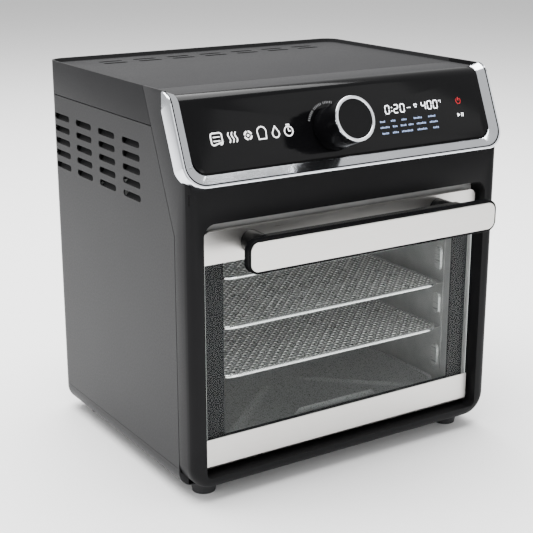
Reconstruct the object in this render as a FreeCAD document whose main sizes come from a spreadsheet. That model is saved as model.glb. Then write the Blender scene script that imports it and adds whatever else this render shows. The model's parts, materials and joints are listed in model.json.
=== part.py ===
"""Counter-top toaster oven with a top fan, three mesh racks and a drop-down glass door.

Millimetres, +Z up. The origin is on the counter under the middle of the oven:
+X is the cook's right, -Y is the door side and +Y the back.
"""
import FreeCAD, Part
import math
import os

import Sketcher

Vector = FreeCAD.Vector
doc = FreeCAD.newDocument("toaster_oven")
sheet = doc.addObject("Spreadsheet::Sheet", "Dimensions")

DRIVING = {
    # casing
    "half_width": 160, "top_z": 343.3, "pan_z": 9.5, "pan_rise": 27, "seam_z": 312.5,
    "split_y": -94.3, "case_depth": 240, "case_round": 15, "sheet_wall": 1.2, "seam_gap": 0.3,
    "top_recess": 3.5, "rim_wide": 2, "moulded_wall": 2.5, "spacer_deep": 8.1,
    # side and top vents
    "vent_long": 32, "vent_high": 5.5, "vent_pitch_y": 46.3, "vent_pitch_z": 11.3,
    "vent_first_z": 248, "vent_first_y": 72.5, "top_slot_long": 24, "top_slot_wide": 5.5,
    "top_slot_pitch": 35.6, "top_slot_y": 205, "top_slot_row": 12,
    # rear and bottom vents, and the lead's gland
    "rear_slot_long": 28, "rear_slot_high": 4, "rear_slot_pitch": 38, "rear_slot_z": 250,
    "pan_slot_long": 30, "pan_slot_pitch": 50, "slot_row": 12,
    "gland_x": 110, "gland_z": 60, "gland_r": 8, "lead_r": 3.6,
    # front frame and head
    "frame_deep": 23, "frame_z": 12.5, "frame_corner": 22, "kink_z": 230, "split_top_run": 48,
    "opening_half": 146, "opening_low": 22.8, "opening_high": 241.5, "jamb_wall": 2,
    "lean_angle": 23, "head_y": -122.3, "head_z": 272, "head_round": 14, "seat_deep": 6.6,
    "trim_half": 162.5, "trim_face": 10.5, "trim_thick": 6.3, "trim_skirt": 15,
    "panel_deep": 3.5, "panel_half": 151.7, "panel_corner": 11.7, "trim_corner": 18,
    "brow_round": 9, "hollow_z": 260,
    # door and handle
    "door_half": 142, "door_low": 26.8, "door_high": 233, "strip_thick": 0.8, "glass_thick": 4,
    "door_set_back": 14.4, "lower_strip_z": 53.8, "upper_strip_z": 205.7, "frame_bar": 4.8,
    "hinge_z": 31, "pin_r": 2.2, "pin_long": 14, "fit": 0.05,
    "window_half": 127, "window_low": 52, "window_high": 207, "seal_wide": 5,
    "bracket_x": 149.5, "bracket_thick": 2,
    "handle_half": 125, "handle_low": 208.6, "handle_high": 232.4, "handle_reach": 59.5,
    "handle_rim": 2, "bezel_deep": 7, "grip_deep": 15, "grip_half": 108, "post_x": 98, "post_r": 9.5,
    # cavity, racks and tray
    "cavity_half": 128, "cavity_floor": 40, "cavity_top": 226, "cavity_deep": 220, "liner_wall": 0.8,
    "rack_first_z": 99.5, "rack_pitch": 43.5, "rack_half": 120, "rack_deep": 206, "rod_r": 1.9,
    "rack_corner": 17, "mesh_thick": 1.2, "mesh_pitch": 14, "mesh_wire": 1.6, "ledge_wide": 9,
    "tray_half": 113, "tray_z": 40.3, "tray_rim": 9, "tray_deep": 204, "rack_gap": 0.3,
    "lamp_y": 60, "lamp_z": 205, "lens_r": 13, "probe_y": 90,
    # fan and heat
    "duct_r": 98, "duct_high": 30, "element_r": 83, "element_rod": 3.4, "fan_y": 10,
    "fan_r": 66, "cool_fan_r": 46, "shaft_r": 3, "motor_r": 32, "motor_high": 34,
    "motor_rise": 22, "bracket_leg": 62, "felt_thick": 8,
    # knob
    "knob_x": -16, "knob_z": 303, "knob_r": 19, "knob_long": 33, "knob_travel": 1,
    "knob_hole": 7, "display_left": 31, "display_right": 111, "display_low": 298,
    "display_high": 322, "board_z": 290,
    # switch, feet and fasteners
    "switch_x": 136.5, "switch_z": 219, "foot_r": 11.5, "foot_x": 134, "foot_run": 202,
    "screw_x": 136, "screw_r": 3.2, "spacer_x": 120, "spacer_z": 280,
}


class Size:
    """A length: its number, and the sheet formula that gives that number."""

    def __init__(self, number, formula):
        self.number = number
        self.formula = formula

    def __add__(self, other):
        other = size(other)
        return Size(self.number + other.number, f"({self.formula} + {other.formula})")

    def __sub__(self, other):
        other = size(other)
        return Size(self.number - other.number, f"({self.formula} - {other.formula})")

    def __mul__(self, other):
        other = size(other)
        return Size(self.number * other.number, f"({self.formula} * {other.formula})")

    def __truediv__(self, other):
        other = size(other)
        return Size(self.number / other.number, f"({self.formula} / {other.formula})")

    def __neg__(self):
        return Size(-self.number, f"(0 - {self.formula})")

    __radd__ = __add__
    __rmul__ = __mul__

    def __rsub__(self, other):
        return size(other) - self


def size(value):
    return value if isinstance(value, Size) else Size(float(value), f"{float(value):g}")


def fill_sheet():
    lengths = {}
    for row, (alias, number) in enumerate(DRIVING.items(), start=1):
        sheet.set(f"A{row}", alias)
        sheet.set(f"B{row}", str(number))
        sheet.setAlias(f"B{row}", alias)
        lengths[alias] = Size(float(number), f"Dimensions.{alias}")
    doc.recompute()
    return lengths


D = fill_sheet()
nodes = []


def bind(item, place, length):
    item.setExpression(place, size(length).formula)


# ---------------------------------------------------------------- outlines

def closed_path(points):
    """Closed outline through corners (u, v) or (u, v, radius), each bound to the sheet."""
    corners = []
    for point in points:
        radius = size(point[2]) if len(point) > 2 else size(0)
        corners.append((size(point[0]), size(point[1]), radius))

    def draw(sketch):
        count = len(corners)
        spots = [Vector(u.number, v.number, 0) for u, v, radius in corners]
        starts, ends = [], []
        for i in range(count):
            before = (spots[i - 1] - spots[i]).normalize()
            after = (spots[(i + 1) % count] - spots[i]).normalize()
            half_turn = before.getAngle(after) / 2
            reach = corners[i][2].number / math.tan(half_turn)
            ends.append(spots[i] + before * reach)
            starts.append(spots[i] + after * reach)
        lines = []
        for i in range(count):
            segment = Part.LineSegment(starts[i], ends[(i + 1) % count])
            lines.append(sketch.addGeometry(segment, False))
        for i, (u, v, radius) in enumerate(corners):
            into, out = lines[i - 1], lines[i]
            if radius.number == 0:
                sketch.addConstraint(Sketcher.Constraint("Coincident", into, 2, out, 1))
                pin(sketch, out, 1, u, v)
            else:
                middle = (ends[i] + starts[i]) * 0.5
                inward = (middle - spots[i]).normalize()
                centre = spots[i] + inward * math.hypot(
                    radius.number, (ends[i] - spots[i]).Length)
                bulge = centre - inward * radius.number
                arc = sketch.addGeometry(Part.Arc(ends[i], bulge, starts[i]), False)
                first, last = arc_ends(sketch, arc, ends[i])
                sketch.addConstraint(Sketcher.Constraint("Tangent", into, 2, arc, first))
                sketch.addConstraint(Sketcher.Constraint("Tangent", arc, last, out, 1))
                index = sketch.addConstraint(Sketcher.Constraint("Radius", arc, radius.number))
                bind(sketch, f"Constraints[{index}]", radius)
                corner = sketch.addGeometry(Part.Point(spots[i]), True)
                sketch.addConstraint(Sketcher.Constraint("PointOnObject", corner, 1, into))
                sketch.addConstraint(Sketcher.Constraint("PointOnObject", corner, 1, out))
                pin(sketch, corner, 1, u, v)
    return draw


def arc_ends(sketch, arc, first_spot):
    """Which end of a sketch arc (1 or 2) lies at first_spot, and the other one."""
    if (sketch.getPoint(arc, 1) - first_spot).Length < (sketch.getPoint(arc, 2) - first_spot).Length:
        return 1, 2
    return 2, 1


def pin(sketch, item, end, u, v):
    for kind, length in (("DistanceX", u), ("DistanceY", v)):
        rule = Sketcher.Constraint(kind, -1, 1, item, end, length.number)
        index = sketch.addConstraint(rule)
        bind(sketch, f"Constraints[{index}]", length)


def rectangle(u0, v0, u1, v1, radius=0):
    return closed_path([(u0, v0, radius), (u1, v0, radius), (u1, v1, radius), (u0, v1, radius)])


def circle(u, v, radius):
    def draw(sketch):
        centre = Vector(size(u).number, size(v).number, 0)
        ring = sketch.addGeometry(Part.Circle(centre, Vector(0, 0, 1), size(radius).number), False)
        index = sketch.addConstraint(Sketcher.Constraint("Radius", ring, size(radius).number))
        bind(sketch, f"Constraints[{index}]", radius)
        pin(sketch, ring, 3, size(u), size(v))
    return draw


# ---------------------------------------------------------------- features

def new_body(label):
    body = doc.addObject("PartDesign::Body", label)
    body.Label = label
    nodes.append(body)
    return body


def new_sketch(body, role, offset, outlines):
    sketch = body.newObject("Sketcher::SketchObject", f"{body.Name}_outline")
    for feature in body.Origin.OriginFeatures:
        if feature.Role == role:
            sketch.AttachmentSupport = (feature, [""])
    sketch.MapMode = "FlatFace"
    bind(sketch, "AttachmentOffset.Base.z", offset)
    for draw in outlines:
        draw(sketch)
    return sketch


def pad(body, role, start, end, *outlines):
    """Solid between two places along the axis square to the plane."""
    offset = -size(end) if role == "XZ_Plane" else size(start)
    feature = body.newObject("PartDesign::Pad", f"{body.Name}_pad")
    feature.Profile = new_sketch(body, role, offset, outlines)
    bind(feature, "Length", size(end) - start)
    return feature


def pocket(body, role, start, end, *outlines):
    """Cut between two places along the axis square to the plane."""
    offset = -size(start) if role == "XZ_Plane" else size(end)
    feature = body.newObject("PartDesign::Pocket", f"{body.Name}_pocket")
    feature.Profile = new_sketch(body, role, offset, outlines)
    bind(feature, "Length", size(end) - start)
    cuts.append((body, feature))
    return feature


cuts = []


def edges_where(feature, test):
    """Names of the edges whose middle passes the test."""
    doc.recompute()
    names = []
    for number, edge in enumerate(feature.Shape.Edges, start=1):
        middle = edge.valueAt((edge.FirstParameter + edge.LastParameter) / 2)
        if test(middle):
            names.append(f"Edge{number}")
    return names


def fillet(body, feature, radius, test):
    item = body.newObject("PartDesign::Fillet", f"{body.Name}_round")
    item.Base = (feature, edges_where(feature, test))
    bind(item, "Radius", radius)
    return item


def repeat(body, feature, axis, count, pitch, second):
    """Grid of a feature: a row along one sketch axis, repeated by second=(axis, count, pitch)."""
    pattern = body.newObject("PartDesign::LinearPattern", f"{body.Name}_row")
    pattern.Originals = [feature]
    pattern.Direction = (feature.Profile[0], [axis])
    pattern.Occurrences = count
    bind(pattern, "Length", size(pitch) * (count - 1))
    axis2, count2, pitch2 = second
    pattern.Direction2 = (feature.Profile[0], [axis2])
    pattern.Occurrences2 = count2
    bind(pattern, "Length2", size(pitch2) * (count2 - 1))
    body.Tip = pattern


def around_z(body, feature, count):
    """Ring of a feature about the body's own Z axis."""
    pattern = body.newObject("PartDesign::PolarPattern", f"{body.Name}_ring")
    pattern.Originals = [feature]
    for axis in body.Origin.OriginFeatures:
        if axis.Role == "Z_Axis":
            pattern.Axis = (axis, [""])
    pattern.Angle = 360
    pattern.Occurrences = count
    body.Tip = pattern


def put(item, x=0, y=0, z=0):
    for axis, length in (("x", x), ("y", y), ("z", z)):
        bind(item, f"Placement.Base.{axis}", length)


def box(label, x0, y0, z0, x1, y1, z1, node=True):
    item = doc.addObject("Part::Box", label)
    item.Label = label
    bind(item, "Length", size(x1) - x0)
    bind(item, "Width", size(y1) - y0)
    bind(item, "Height", size(z1) - z0)
    put(item, x0, y0, z0)
    if node:
        nodes.append(item)
    return item


AXIS_TURN = {"x": FreeCAD.Rotation(Vector(0, 1, 0), 90), "y": FreeCAD.Rotation(Vector(-1, 0, 0), 90),
             "z": FreeCAD.Rotation()}


def rod(label, axis, x, y, z, radius, length, node=False):
    """Round bar that starts at x, y, z and runs along the axis."""
    item = doc.addObject("Part::Cylinder", label)
    item.Label = label
    bind(item, "Radius", radius)
    bind(item, "Height", length)
    item.Placement = FreeCAD.Placement(Vector(), AXIS_TURN[axis])
    put(item, x, y, z)
    if node:
        nodes.append(item)
    return item


def join(label, shapes):
    item = doc.addObject("Part::MultiFuse", label)
    item.Label = label
    item.Shapes = shapes
    nodes.append(item)
    return item


def group(label, shapes):
    """Separate solids that share one node, such as a set of screws."""
    item = doc.addObject("Part::Compound", label)
    item.Label = label
    item.Links = shapes
    nodes.append(item)
    return item


# ---------------------------------------------------------------- shared places

slope = Size(math.tan(math.radians(DRIVING["lean_angle"])), "tan(Dimensions.lean_angle)")
slant = Size(1 / math.cos(math.radians(DRIVING["lean_angle"])), "(1 / cos(Dimensions.lean_angle))")
half = D["half_width"]
wall = D["sheet_wall"]
gap = D["seam_gap"]
split_y = D["split_y"]
rear_y = split_y + D["case_depth"]
face_y = split_y - D["frame_deep"]
top_z = D["top_z"]
deck_z = top_z - D["top_recess"]
split_top_y = split_y + D["split_top_run"]
split_slope = D["split_top_run"] / (top_z - D["kink_z"])
door_y = split_y - D["door_set_back"]
glass_y = door_y + D["strip_thick"]
bar_y = glass_y + D["glass_thick"]
bar_back_y = bar_y + D["frame_bar"]
flange_y = bar_back_y + 0.8
hinge_y = bar_y + D["frame_bar"] / 2
cavity_back = flange_y + D["cavity_deep"]
step_y = D["head_y"] + (top_z - D["head_z"]) * slope + D["head_round"] * 0.662
knob_y = D["head_y"] + D["panel_deep"] * slant + (D["knob_z"] - D["head_z"]) * slope


def split_at(z):
    """Where the slanted seam between casing and front frame lies at a height."""
    return split_y + (size(z) - D["kink_z"]) * split_slope


def head_y_at(depth, z):
    """Plane parallel to the slanted head, a depth under the trim's face."""
    return D["head_y"] + size(depth) * slant + (size(z) - D["head_z"]) * slope


def head_corner(depth):
    """Rounded corner where the slanted plane at a depth meets the top."""
    z = top_z - depth
    return (head_y_at(depth, z), z, D["head_round"] - depth)


# ---------------------------------------------------------------- casing

def side_panel(side):
    """Sheet side that wraps the rear corner; side is -1 for left and 1 for right."""
    body = new_body("left_side_panel" if side < 0 else "right_side_panel")
    outer, inner = half * side, (half - wall) * side
    corner = D["case_round"]
    wrap = (half - corner - 1) * side
    outline = closed_path([
        (outer, split_y + gap), (outer, rear_y, corner), (wrap, rear_y),
        (wrap, rear_y - wall), (inner, rear_y - wall, corner - wall), (inner, split_y + gap)])
    pad(body, "XY_Plane", D["pan_rise"] + gap, D["seam_z"] - gap, outline)
    low, high = D["kink_z"], D["seam_z"] + 5
    corner_cut = closed_path([(split_y - 5, low), (split_at(low) + gap, low),
                              (split_at(high) + gap, high), (split_y - 5, high)])
    near = -half - 2 if side < 0 else half - 4
    pocket(body, "YZ_Plane", near, near + 6, corner_cut)
    y0 = split_y + D["vent_first_y"] - D["vent_long"] / 2
    z0 = D["vent_first_z"] - D["vent_high"] / 2
    slot = rectangle(y0, z0, y0 + D["vent_long"], z0 + D["vent_high"], D["vent_high"] * 0.49)
    vent = pocket(body, "YZ_Plane", near, near + 6, slot)
    repeat(body, vent, "H_Axis", 4, D["vent_pitch_y"], ("V_Axis", 5, D["vent_pitch_z"]))


def top_cover():
    """Moulded lid with a raised rim on three sides and two rows of rear slots."""
    body = new_body("top_cover")
    corner = D["case_round"]

    def plan(inset, front):
        edge, back = half - inset, rear_y - inset
        return closed_path([(-edge, front), (edge, front), (edge, back, corner - inset),
                            (-edge, back, corner - inset)])
    front = split_y - 10
    pad(body, "XY_Plane", D["seam_z"], top_z, plan(size(0), front))
    pocket(body, "XY_Plane", D["seam_z"] - 1, deck_z - 2, plan(D["rim_wide"], front - 1))
    pocket(body, "XY_Plane", deck_z, top_z + 1, plan(D["rim_wide"], front - 1))
    low, high = D["seam_z"] - 2, top_z + 2
    front_cut = closed_path([(front - 5, low), (split_at(low) + gap, low),
                             (split_at(high) + gap, high), (front - 5, high)])
    pocket(body, "YZ_Plane", -half - 2, half + 2, front_cut)
    x0 = -D["top_slot_pitch"] * 3 - D["top_slot_long"] / 2
    y0 = split_y + D["top_slot_y"] - D["top_slot_wide"] / 2
    slot = rectangle(x0, y0, x0 + D["top_slot_long"], y0 + D["top_slot_wide"],
                     D["top_slot_wide"] * 0.49)
    vent = pocket(body, "XY_Plane", deck_z - 4, deck_z + 1, slot)
    repeat(body, vent, "H_Axis", 7, D["top_slot_pitch"], ("V_Axis", 2, D["top_slot_row"]))


def rear_panel():
    """Flat sheet back with rows of slots and the gland's hole."""
    body = new_body("rear_panel")
    edge = half - D["case_round"] - 1 - gap
    pad(body, "XZ_Plane", rear_y - wall, rear_y,
        rectangle(-edge, D["pan_rise"] + gap, edge, D["seam_z"] - gap))
    x0 = -D["rear_slot_pitch"] * 2 - D["rear_slot_long"] / 2
    z0 = D["rear_slot_z"]
    slot = rectangle(x0, z0, x0 + D["rear_slot_long"], z0 + D["rear_slot_high"],
                     D["rear_slot_high"] * 0.475)
    vent = pocket(body, "XZ_Plane", rear_y - 5, rear_y + 2, slot)
    repeat(body, vent, "H_Axis", 5, D["rear_slot_pitch"], ("V_Axis", 4, D["slot_row"]))
    pocket(body, "XZ_Plane", rear_y - 5, rear_y + 2,
           circle(D["gland_x"], D["gland_z"], D["gland_r"] + 0.2))


def base_pan():
    """Bottom pan whose left, right and rear edges turn up in a round bend."""
    body = new_body("base_pan")
    bend = D["case_round"] - 1
    outline = closed_path([(-half, split_y + gap), (half, split_y + gap),
                           (half, rear_y, D["case_round"]), (-half, rear_y, D["case_round"])])
    solid = pad(body, "XY_Plane", D["pan_z"], D["pan_rise"], outline)
    low = D["pan_z"].number
    front = (split_y + gap).number
    fillet(body, solid, bend, lambda mid: abs(mid.z - low) < 0.01 and mid.y > front + 0.5)
    inner = half - wall
    back = rear_y - wall
    inset = D["case_round"] - wall
    hollow = closed_path([(-inner, split_y - 5), (inner, split_y - 5), (inner, back, inset),
                          (-inner, back, inset)])
    pocket(body, "XY_Plane", D["pan_z"] + bend, D["pan_rise"] + 1, hollow)
    lower = inner - bend * 0.55
    pocket(body, "XY_Plane", D["pan_z"] + wall, D["pan_z"] + bend + 0.01, closed_path([
        (-lower, split_y - 5), (lower, split_y - 5), (lower, back - bend * 0.55, inset - 2),
        (-lower, back - bend * 0.55, inset - 2)]))
    x0 = -D["pan_slot_pitch"] - D["pan_slot_long"] / 2
    y0 = -D["slot_row"] * 1.5
    slot = rectangle(x0, y0, x0 + D["pan_slot_long"], y0 + D["rear_slot_high"],
                     D["rear_slot_high"] * 0.475)
    vent = pocket(body, "XY_Plane", D["pan_z"] - 2, D["pan_z"] + 3, slot)
    repeat(body, vent, "H_Axis", 3, D["pan_slot_pitch"], ("V_Axis", 4, D["slot_row"]))


def front_frame():
    """Moulded front: a ring round the door and the slanted head above it."""
    body = new_body("front_frame")
    thick = D["moulded_wall"]
    seat = D["seat_deep"]
    brow_z = D["head_z"] + (face_y - D["head_y"] - seat * slant) / slope
    profile = closed_path([
        (face_y, D["frame_z"]), (face_y, brow_z), head_corner(seat), (step_y, top_z - seat),
        (step_y, top_z), (split_top_y, top_z), (split_y, D["kink_z"]), (split_y, D["frame_z"])])
    block = pad(body, "YZ_Plane", -half, half, profile)
    low = D["frame_z"].number
    side = half.number
    bottom = fillet(body, block, D["frame_corner"], lambda mid: abs(mid.z - low) < 0.01
                    and abs(abs(mid.x) - side) < 0.01)
    front = face_y.number
    brow = brow_z.number
    fillet(body, bottom, D["brow_round"],
           lambda mid: abs(mid.y - front) < 0.01 and mid.z < brow - 1)
    edge = half - thick
    corner = D["frame_corner"] - thick
    floor_z, roof_z = D["frame_z"] + thick, D["hollow_z"] + 2
    hollow = closed_path([(-edge, floor_z, corner), (edge, floor_z, corner), (edge, roof_z),
                          (-edge, roof_z)])
    inset = D["brow_round"]
    pocket(body, "XZ_Plane", face_y + inset, 0, hollow)
    slim_edge, slim_z, slim_corner = half - inset, D["frame_z"] + inset, D["frame_corner"] - inset
    slim = closed_path([(-slim_edge, slim_z, slim_corner), (slim_edge, slim_z, slim_corner),
                        (slim_edge, roof_z), (-slim_edge, roof_z)])
    pocket(body, "XZ_Plane", face_y + thick, face_y + inset + 0.01, slim)
    inner = seat + thick
    inner_y = face_y + thick
    brow_inner_z = D["head_z"] + (inner_y - D["head_y"] - inner * slant) / slope
    head_floor = D["hollow_z"] - 2
    head_hollow = closed_path([
        (inner_y, head_floor), (inner_y, brow_inner_z),
        (head_y_at(inner, top_z - inner), top_z - inner), (0, top_z - inner), (0, head_floor)])
    pocket(body, "YZ_Plane", -edge, edge, head_hollow)
    pocket(body, "XY_Plane", deck_z, top_z + 1,
           rectangle(-half + D["rim_wide"], step_y - 1, half - D["rim_wide"], split_top_y + 5))
    opening = D["opening_half"]
    low_z, high_z = D["opening_low"], D["opening_high"]
    window = closed_path([(-opening, low_z, 5), (opening, low_z, 5), (opening, high_z, 10),
                          (-opening, high_z, 10)])
    jamb = D["jamb_wall"]
    sleeve = closed_path([
        (-opening - jamb, low_z - jamb, 7), (opening + jamb, low_z - jamb, 7),
        (opening + jamb, high_z + jamb, 12), (-opening - jamb, high_z + jamb, 12)])
    pad(body, "XZ_Plane", face_y + 1, flange_y - gap, sleeve)
    pocket(body, "XZ_Plane", face_y - 1, flange_y + 2, window)
    for side_sign in (-1, 1):
        near = (opening - 1) if side_sign > 0 else (-opening - jamb - 1)
        pocket(body, "YZ_Plane", near, near + jamb + 2, circle(hinge_y, D["hinge_z"], 4))
    pocket(body, "XZ_Plane", face_y - 10, face_y + 60,
           circle(D["knob_x"], D["knob_z"], D["knob_hole"]),
           rectangle(D["display_left"], D["display_low"], D["display_right"], D["display_high"]))


def panel_trim():
    """Bright U-shaped moulding that holds the control panel and caps the head's sides."""
    body = new_body("panel_trim")
    skirt = D["trim_skirt"]
    end_y = step_y - gap
    cross_z = D["head_z"] + (end_y - D["head_y"] - skirt * slant) / slope
    profile = closed_path([
        (head_y_at(0, D["head_z"]), D["head_z"]), head_corner(size(0)), (end_y, top_z),
        (end_y, cross_z), (head_y_at(skirt, D["head_z"]), D["head_z"])])
    block = pad(body, "YZ_Plane", -D["trim_half"], D["trim_half"], profile)
    low = D["head_z"].number
    side = D["trim_half"].number
    fillet(body, block, D["trim_corner"], lambda mid: abs(mid.z - low) < 0.01
           and abs(abs(mid.x) - side) < 0.01)
    thick = D["trim_thick"]
    back = closed_path([
        (head_y_at(thick, D["head_z"] - 3), D["head_z"] - 3), head_corner(thick),
        (step_y + 5, top_z - thick), (step_y + 5, D["head_z"] - 3)])
    inner = half + gap
    pocket(body, "YZ_Plane", -inner, inner, back)
    opening = D["panel_half"] + gap
    lip = D["head_z"] + D["trim_face"] / slant
    corner = D["panel_corner"] + gap
    pocket(body, "XZ_Plane", face_y - 20, 0, closed_path([
        (-opening, lip, corner), (opening, lip, corner), (opening, top_z + 5),
        (-opening, top_z + 5)]))


def control_panel():
    """Glossy fascia that bends over the top of the head."""
    body = new_body("control_panel")
    outer, inner = D["panel_deep"], D["trim_thick"]
    low = D["head_z"] + D["trim_face"] / slant + gap
    end_y = step_y - gap
    band = closed_path([
        (head_y_at(outer, low), low), head_corner(outer), (end_y, top_z - outer),
        (end_y, top_z - inner), head_corner(inner), (head_y_at(inner, low), low)])
    pad(body, "YZ_Plane", -D["panel_half"], D["panel_half"], band)
    edge, corner = D["panel_half"], D["panel_corner"]
    keep = closed_path([(-edge, low, corner), (edge, low, corner), (edge, top_z + 5),
                        (-edge, top_z + 5)])
    pocket(body, "XZ_Plane", face_y - 20, 0,
           rectangle(-edge - 5, low - 5, edge + 5, top_z + 10), keep)
    pocket(body, "XZ_Plane", face_y - 20, 0,
           circle(D["knob_x"], D["knob_z"], D["knob_hole"]))


# ---------------------------------------------------------------- door

def door():
    """Glass between two bright strips, with a sheet frame and a seal behind it."""
    edge = D["door_half"]
    low, high = D["door_low"], D["door_high"]
    thin = D["strip_thick"]
    middle_z = (D["handle_low"] + D["handle_high"]) / 2
    screw_holes = [circle(D["post_x"] * side, middle_z, 2.4) for side in (-1, 1)]

    glass = new_body("door_glass")
    pad(glass, "XZ_Plane", glass_y, bar_y, rectangle(-edge + 1, low + 3, edge - 1, high - 2, 3))
    pocket(glass, "XZ_Plane", glass_y - 1, bar_y + 1, *screw_holes)

    lower = new_body("door_lower_strip")
    pad(lower, "YZ_Plane", -edge, edge, closed_path([
        (door_y, D["lower_strip_z"]), (door_y, low, 3), (bar_y - 1, low), (bar_y - 1, low + thin),
        (glass_y, low + thin, 3 - thin), (glass_y, D["lower_strip_z"])]))

    upper = new_body("door_upper_strip")
    pad(upper, "XZ_Plane", door_y, glass_y, closed_path([
        (-edge, D["upper_strip_z"]), (edge, D["upper_strip_z"]), (edge, high, 6),
        (-edge, high, 6)]))
    pad(upper, "XZ_Plane", glass_y, bar_y - 1, rectangle(-edge + 7, high - thin, edge - 7, high))
    pocket(upper, "XZ_Plane", door_y - 1, glass_y + 1, *screw_holes)

    clear, sill, head = D["window_half"], D["window_low"], D["window_high"]
    bar = new_body("door_inner_frame")
    pad(bar, "XZ_Plane", bar_y, bar_back_y, rectangle(-edge + 3, low + 1.5, edge - 3, high - 3, 2),
        rectangle(-clear, sill, clear, head, 4))
    pocket(bar, "XZ_Plane", bar_y - 1, bar_back_y + 1, *screw_holes)

    seal = new_body("door_seal")
    lip = 1.5
    out = D["seal_wide"] + lip
    pad(seal, "XZ_Plane", bar_back_y, bar_back_y + 0.5,
        rectangle(-clear - out, sill - out, clear + out, head + out, 6),
        rectangle(-clear - lip, sill - lip, clear + lip, head + lip, 3))

    long = D["pin_long"]
    pins = [rod(f"hinge_pin_{number}", "x", x, hinge_y, D["hinge_z"], D["pin_r"], long)
            for number, x in enumerate((-edge + 3 - long, edge - 3))]
    group("hinge_pins", pins)


def handle():
    """Moulded grip on two posts with a bright plate let into its front."""
    front = split_y - D["handle_reach"]
    low, high = D["handle_low"], D["handle_high"]
    middle_z = (low + high) / 2
    rim = D["handle_rim"]
    edge = D["handle_half"]
    back = front + 0.6

    grip = new_body("handle_grip")
    pad(grip, "XZ_Plane", back, back + D["bezel_deep"],
        rectangle(-edge - rim, low - rim, edge + rim, high + rim, 9))
    pad(grip, "XZ_Plane", back + D["bezel_deep"] - 1, back + D["bezel_deep"] + D["grip_deep"],
        rectangle(-D["grip_half"], low + 1, D["grip_half"], high - 1, 10))
    for side in (-1, 1):
        pad(grip, "XZ_Plane", back + D["bezel_deep"], door_y,
            circle(D["post_x"] * side, middle_z, D["post_r"]))
    pocket(grip, "XZ_Plane", back - 1, back + 0.7,
           rectangle(-edge - 0.1, low - 0.1, edge + 0.1, high + 0.1, 7.1))
    pocket(grip, "XZ_Plane", door_y - 17, door_y + 1,
           *[circle(D["post_x"] * side, middle_z, 2.05) for side in (-1, 1)])

    plate = new_body("handle_plate")
    solid = pad(plate, "XZ_Plane", front, front + 1.3, rectangle(-edge, low, edge, high, 7))
    fillet(plate, solid, 0.5, lambda mid: abs(mid.y - front.number) < 0.01)

    screws = []
    for side in (-1, 1):
        shank = rod(f"handle_shank_{side}", "y", D["post_x"] * side, door_y - 15, middle_z, 2,
                    bar_back_y - door_y + 15)
        head = rod(f"handle_head_{side}", "y", D["post_x"] * side, bar_back_y, middle_z, 3.4, 0.5)
        screws += [shank, head]
    group("handle_screws", screws)


# ---------------------------------------------------------------- cavity

def cavity():
    """Sheet oven chamber: wrapped liner with a front flange, back wall and rack ledges."""
    edge, low, high = D["cavity_half"], D["cavity_floor"], D["cavity_top"]
    thin = D["liner_wall"]
    liner = new_body("cavity_liner")
    pad(liner, "XZ_Plane", flange_y, cavity_back,
        rectangle(-edge - thin, low - thin, edge + thin, high + thin),
        rectangle(-edge, low, edge, high))
    pad(liner, "XZ_Plane", flange_y, flange_y + thin,
        rectangle(-150, low - 4, 150, 245), rectangle(-edge, low, edge, high))
    pocket(liner, "XY_Plane", high - 1, high + 3, circle(0, D["fan_y"], D["duct_r"] - 4))
    pocket(liner, "XZ_Plane", flange_y - 1, flange_y + 3,
           circle(D["switch_x"], D["switch_z"], 2.2))
    pocket(liner, "YZ_Plane", edge - 1, edge + 3, circle(D["lamp_y"], D["lamp_z"], 9),
           circle(D["probe_y"], D["lamp_z"], 3))

    back = new_body("cavity_back_wall")
    pad(back, "XZ_Plane", cavity_back, cavity_back + thin,
        rectangle(-edge - thin, low - thin, edge + thin, high + thin))

    for side in (-1, 1):
        rails = new_body("left_rack_rails" if side < 0 else "right_rack_rails")
        face = edge * side
        inner = (edge - thin) * side
        ledge = (edge - D["ledge_wide"]) * side
        rail_top = D["rack_first_z"] + D["rack_pitch"] * 2 + 8
        points = [(face, rail_top), (inner, rail_top)]
        for level in (2, 1, 0):
            z = D["rack_first_z"] + D["rack_pitch"] * level - D["rod_r"] - D["rack_gap"]
            points += [(inner, z), (ledge, z), (ledge, z - thin), (inner, z - thin)]
        points += [(inner, low + 14), (face, low + 14)]
        pad(rails, "XZ_Plane", flange_y + 12, cavity_back - 6, closed_path(points))


def racks():
    """Three mesh trays, each a bent rod with a woven sheet inside it."""
    front = split_y + 1
    back = front + D["rack_deep"]
    edge = D["rack_half"]
    corner = D["rack_corner"]
    radius = D["rod_r"]
    for level, name in enumerate(("lower", "middle", "upper")):
        z = D["rack_first_z"] + D["rack_pitch"] * level
        frame = new_body(f"{name}_rack_frame")
        hoop = rectangle(-edge, front, edge, back, corner)
        path = new_sketch(frame, "XY_Plane", z, [hoop])
        section = new_sketch(frame, "YZ_Plane", 0, [circle(front, z, radius)])
        pipe = frame.newObject("PartDesign::AdditivePipe", f"{frame.Name}_bar")
        pipe.Profile = section
        pipe.Spine = path

        mesh = new_body(f"{name}_rack_mesh")
        wire = D["mesh_wire"]
        pitch = D["mesh_pitch"]
        half_mesh = edge - radius - 0.05
        y0, y1 = front + radius + 0.05, back - radius - 0.05
        low = z - D["mesh_thick"] / 2
        pad(mesh, "XY_Plane", low, low + D["mesh_thick"],
            rectangle(-half_mesh, y0, half_mesh, y1, corner - radius))
        u, v = -half_mesh + 5, y0 + 5
        hole = rectangle(u, v, u + pitch - wire, v + pitch - wire)
        cell = pocket(mesh, "XY_Plane", low - 1, low + D["mesh_thick"] + 1, hole)
        repeat(mesh, cell, "H_Axis", 16, pitch, ("V_Axis", 13, pitch * 1.06))


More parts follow.
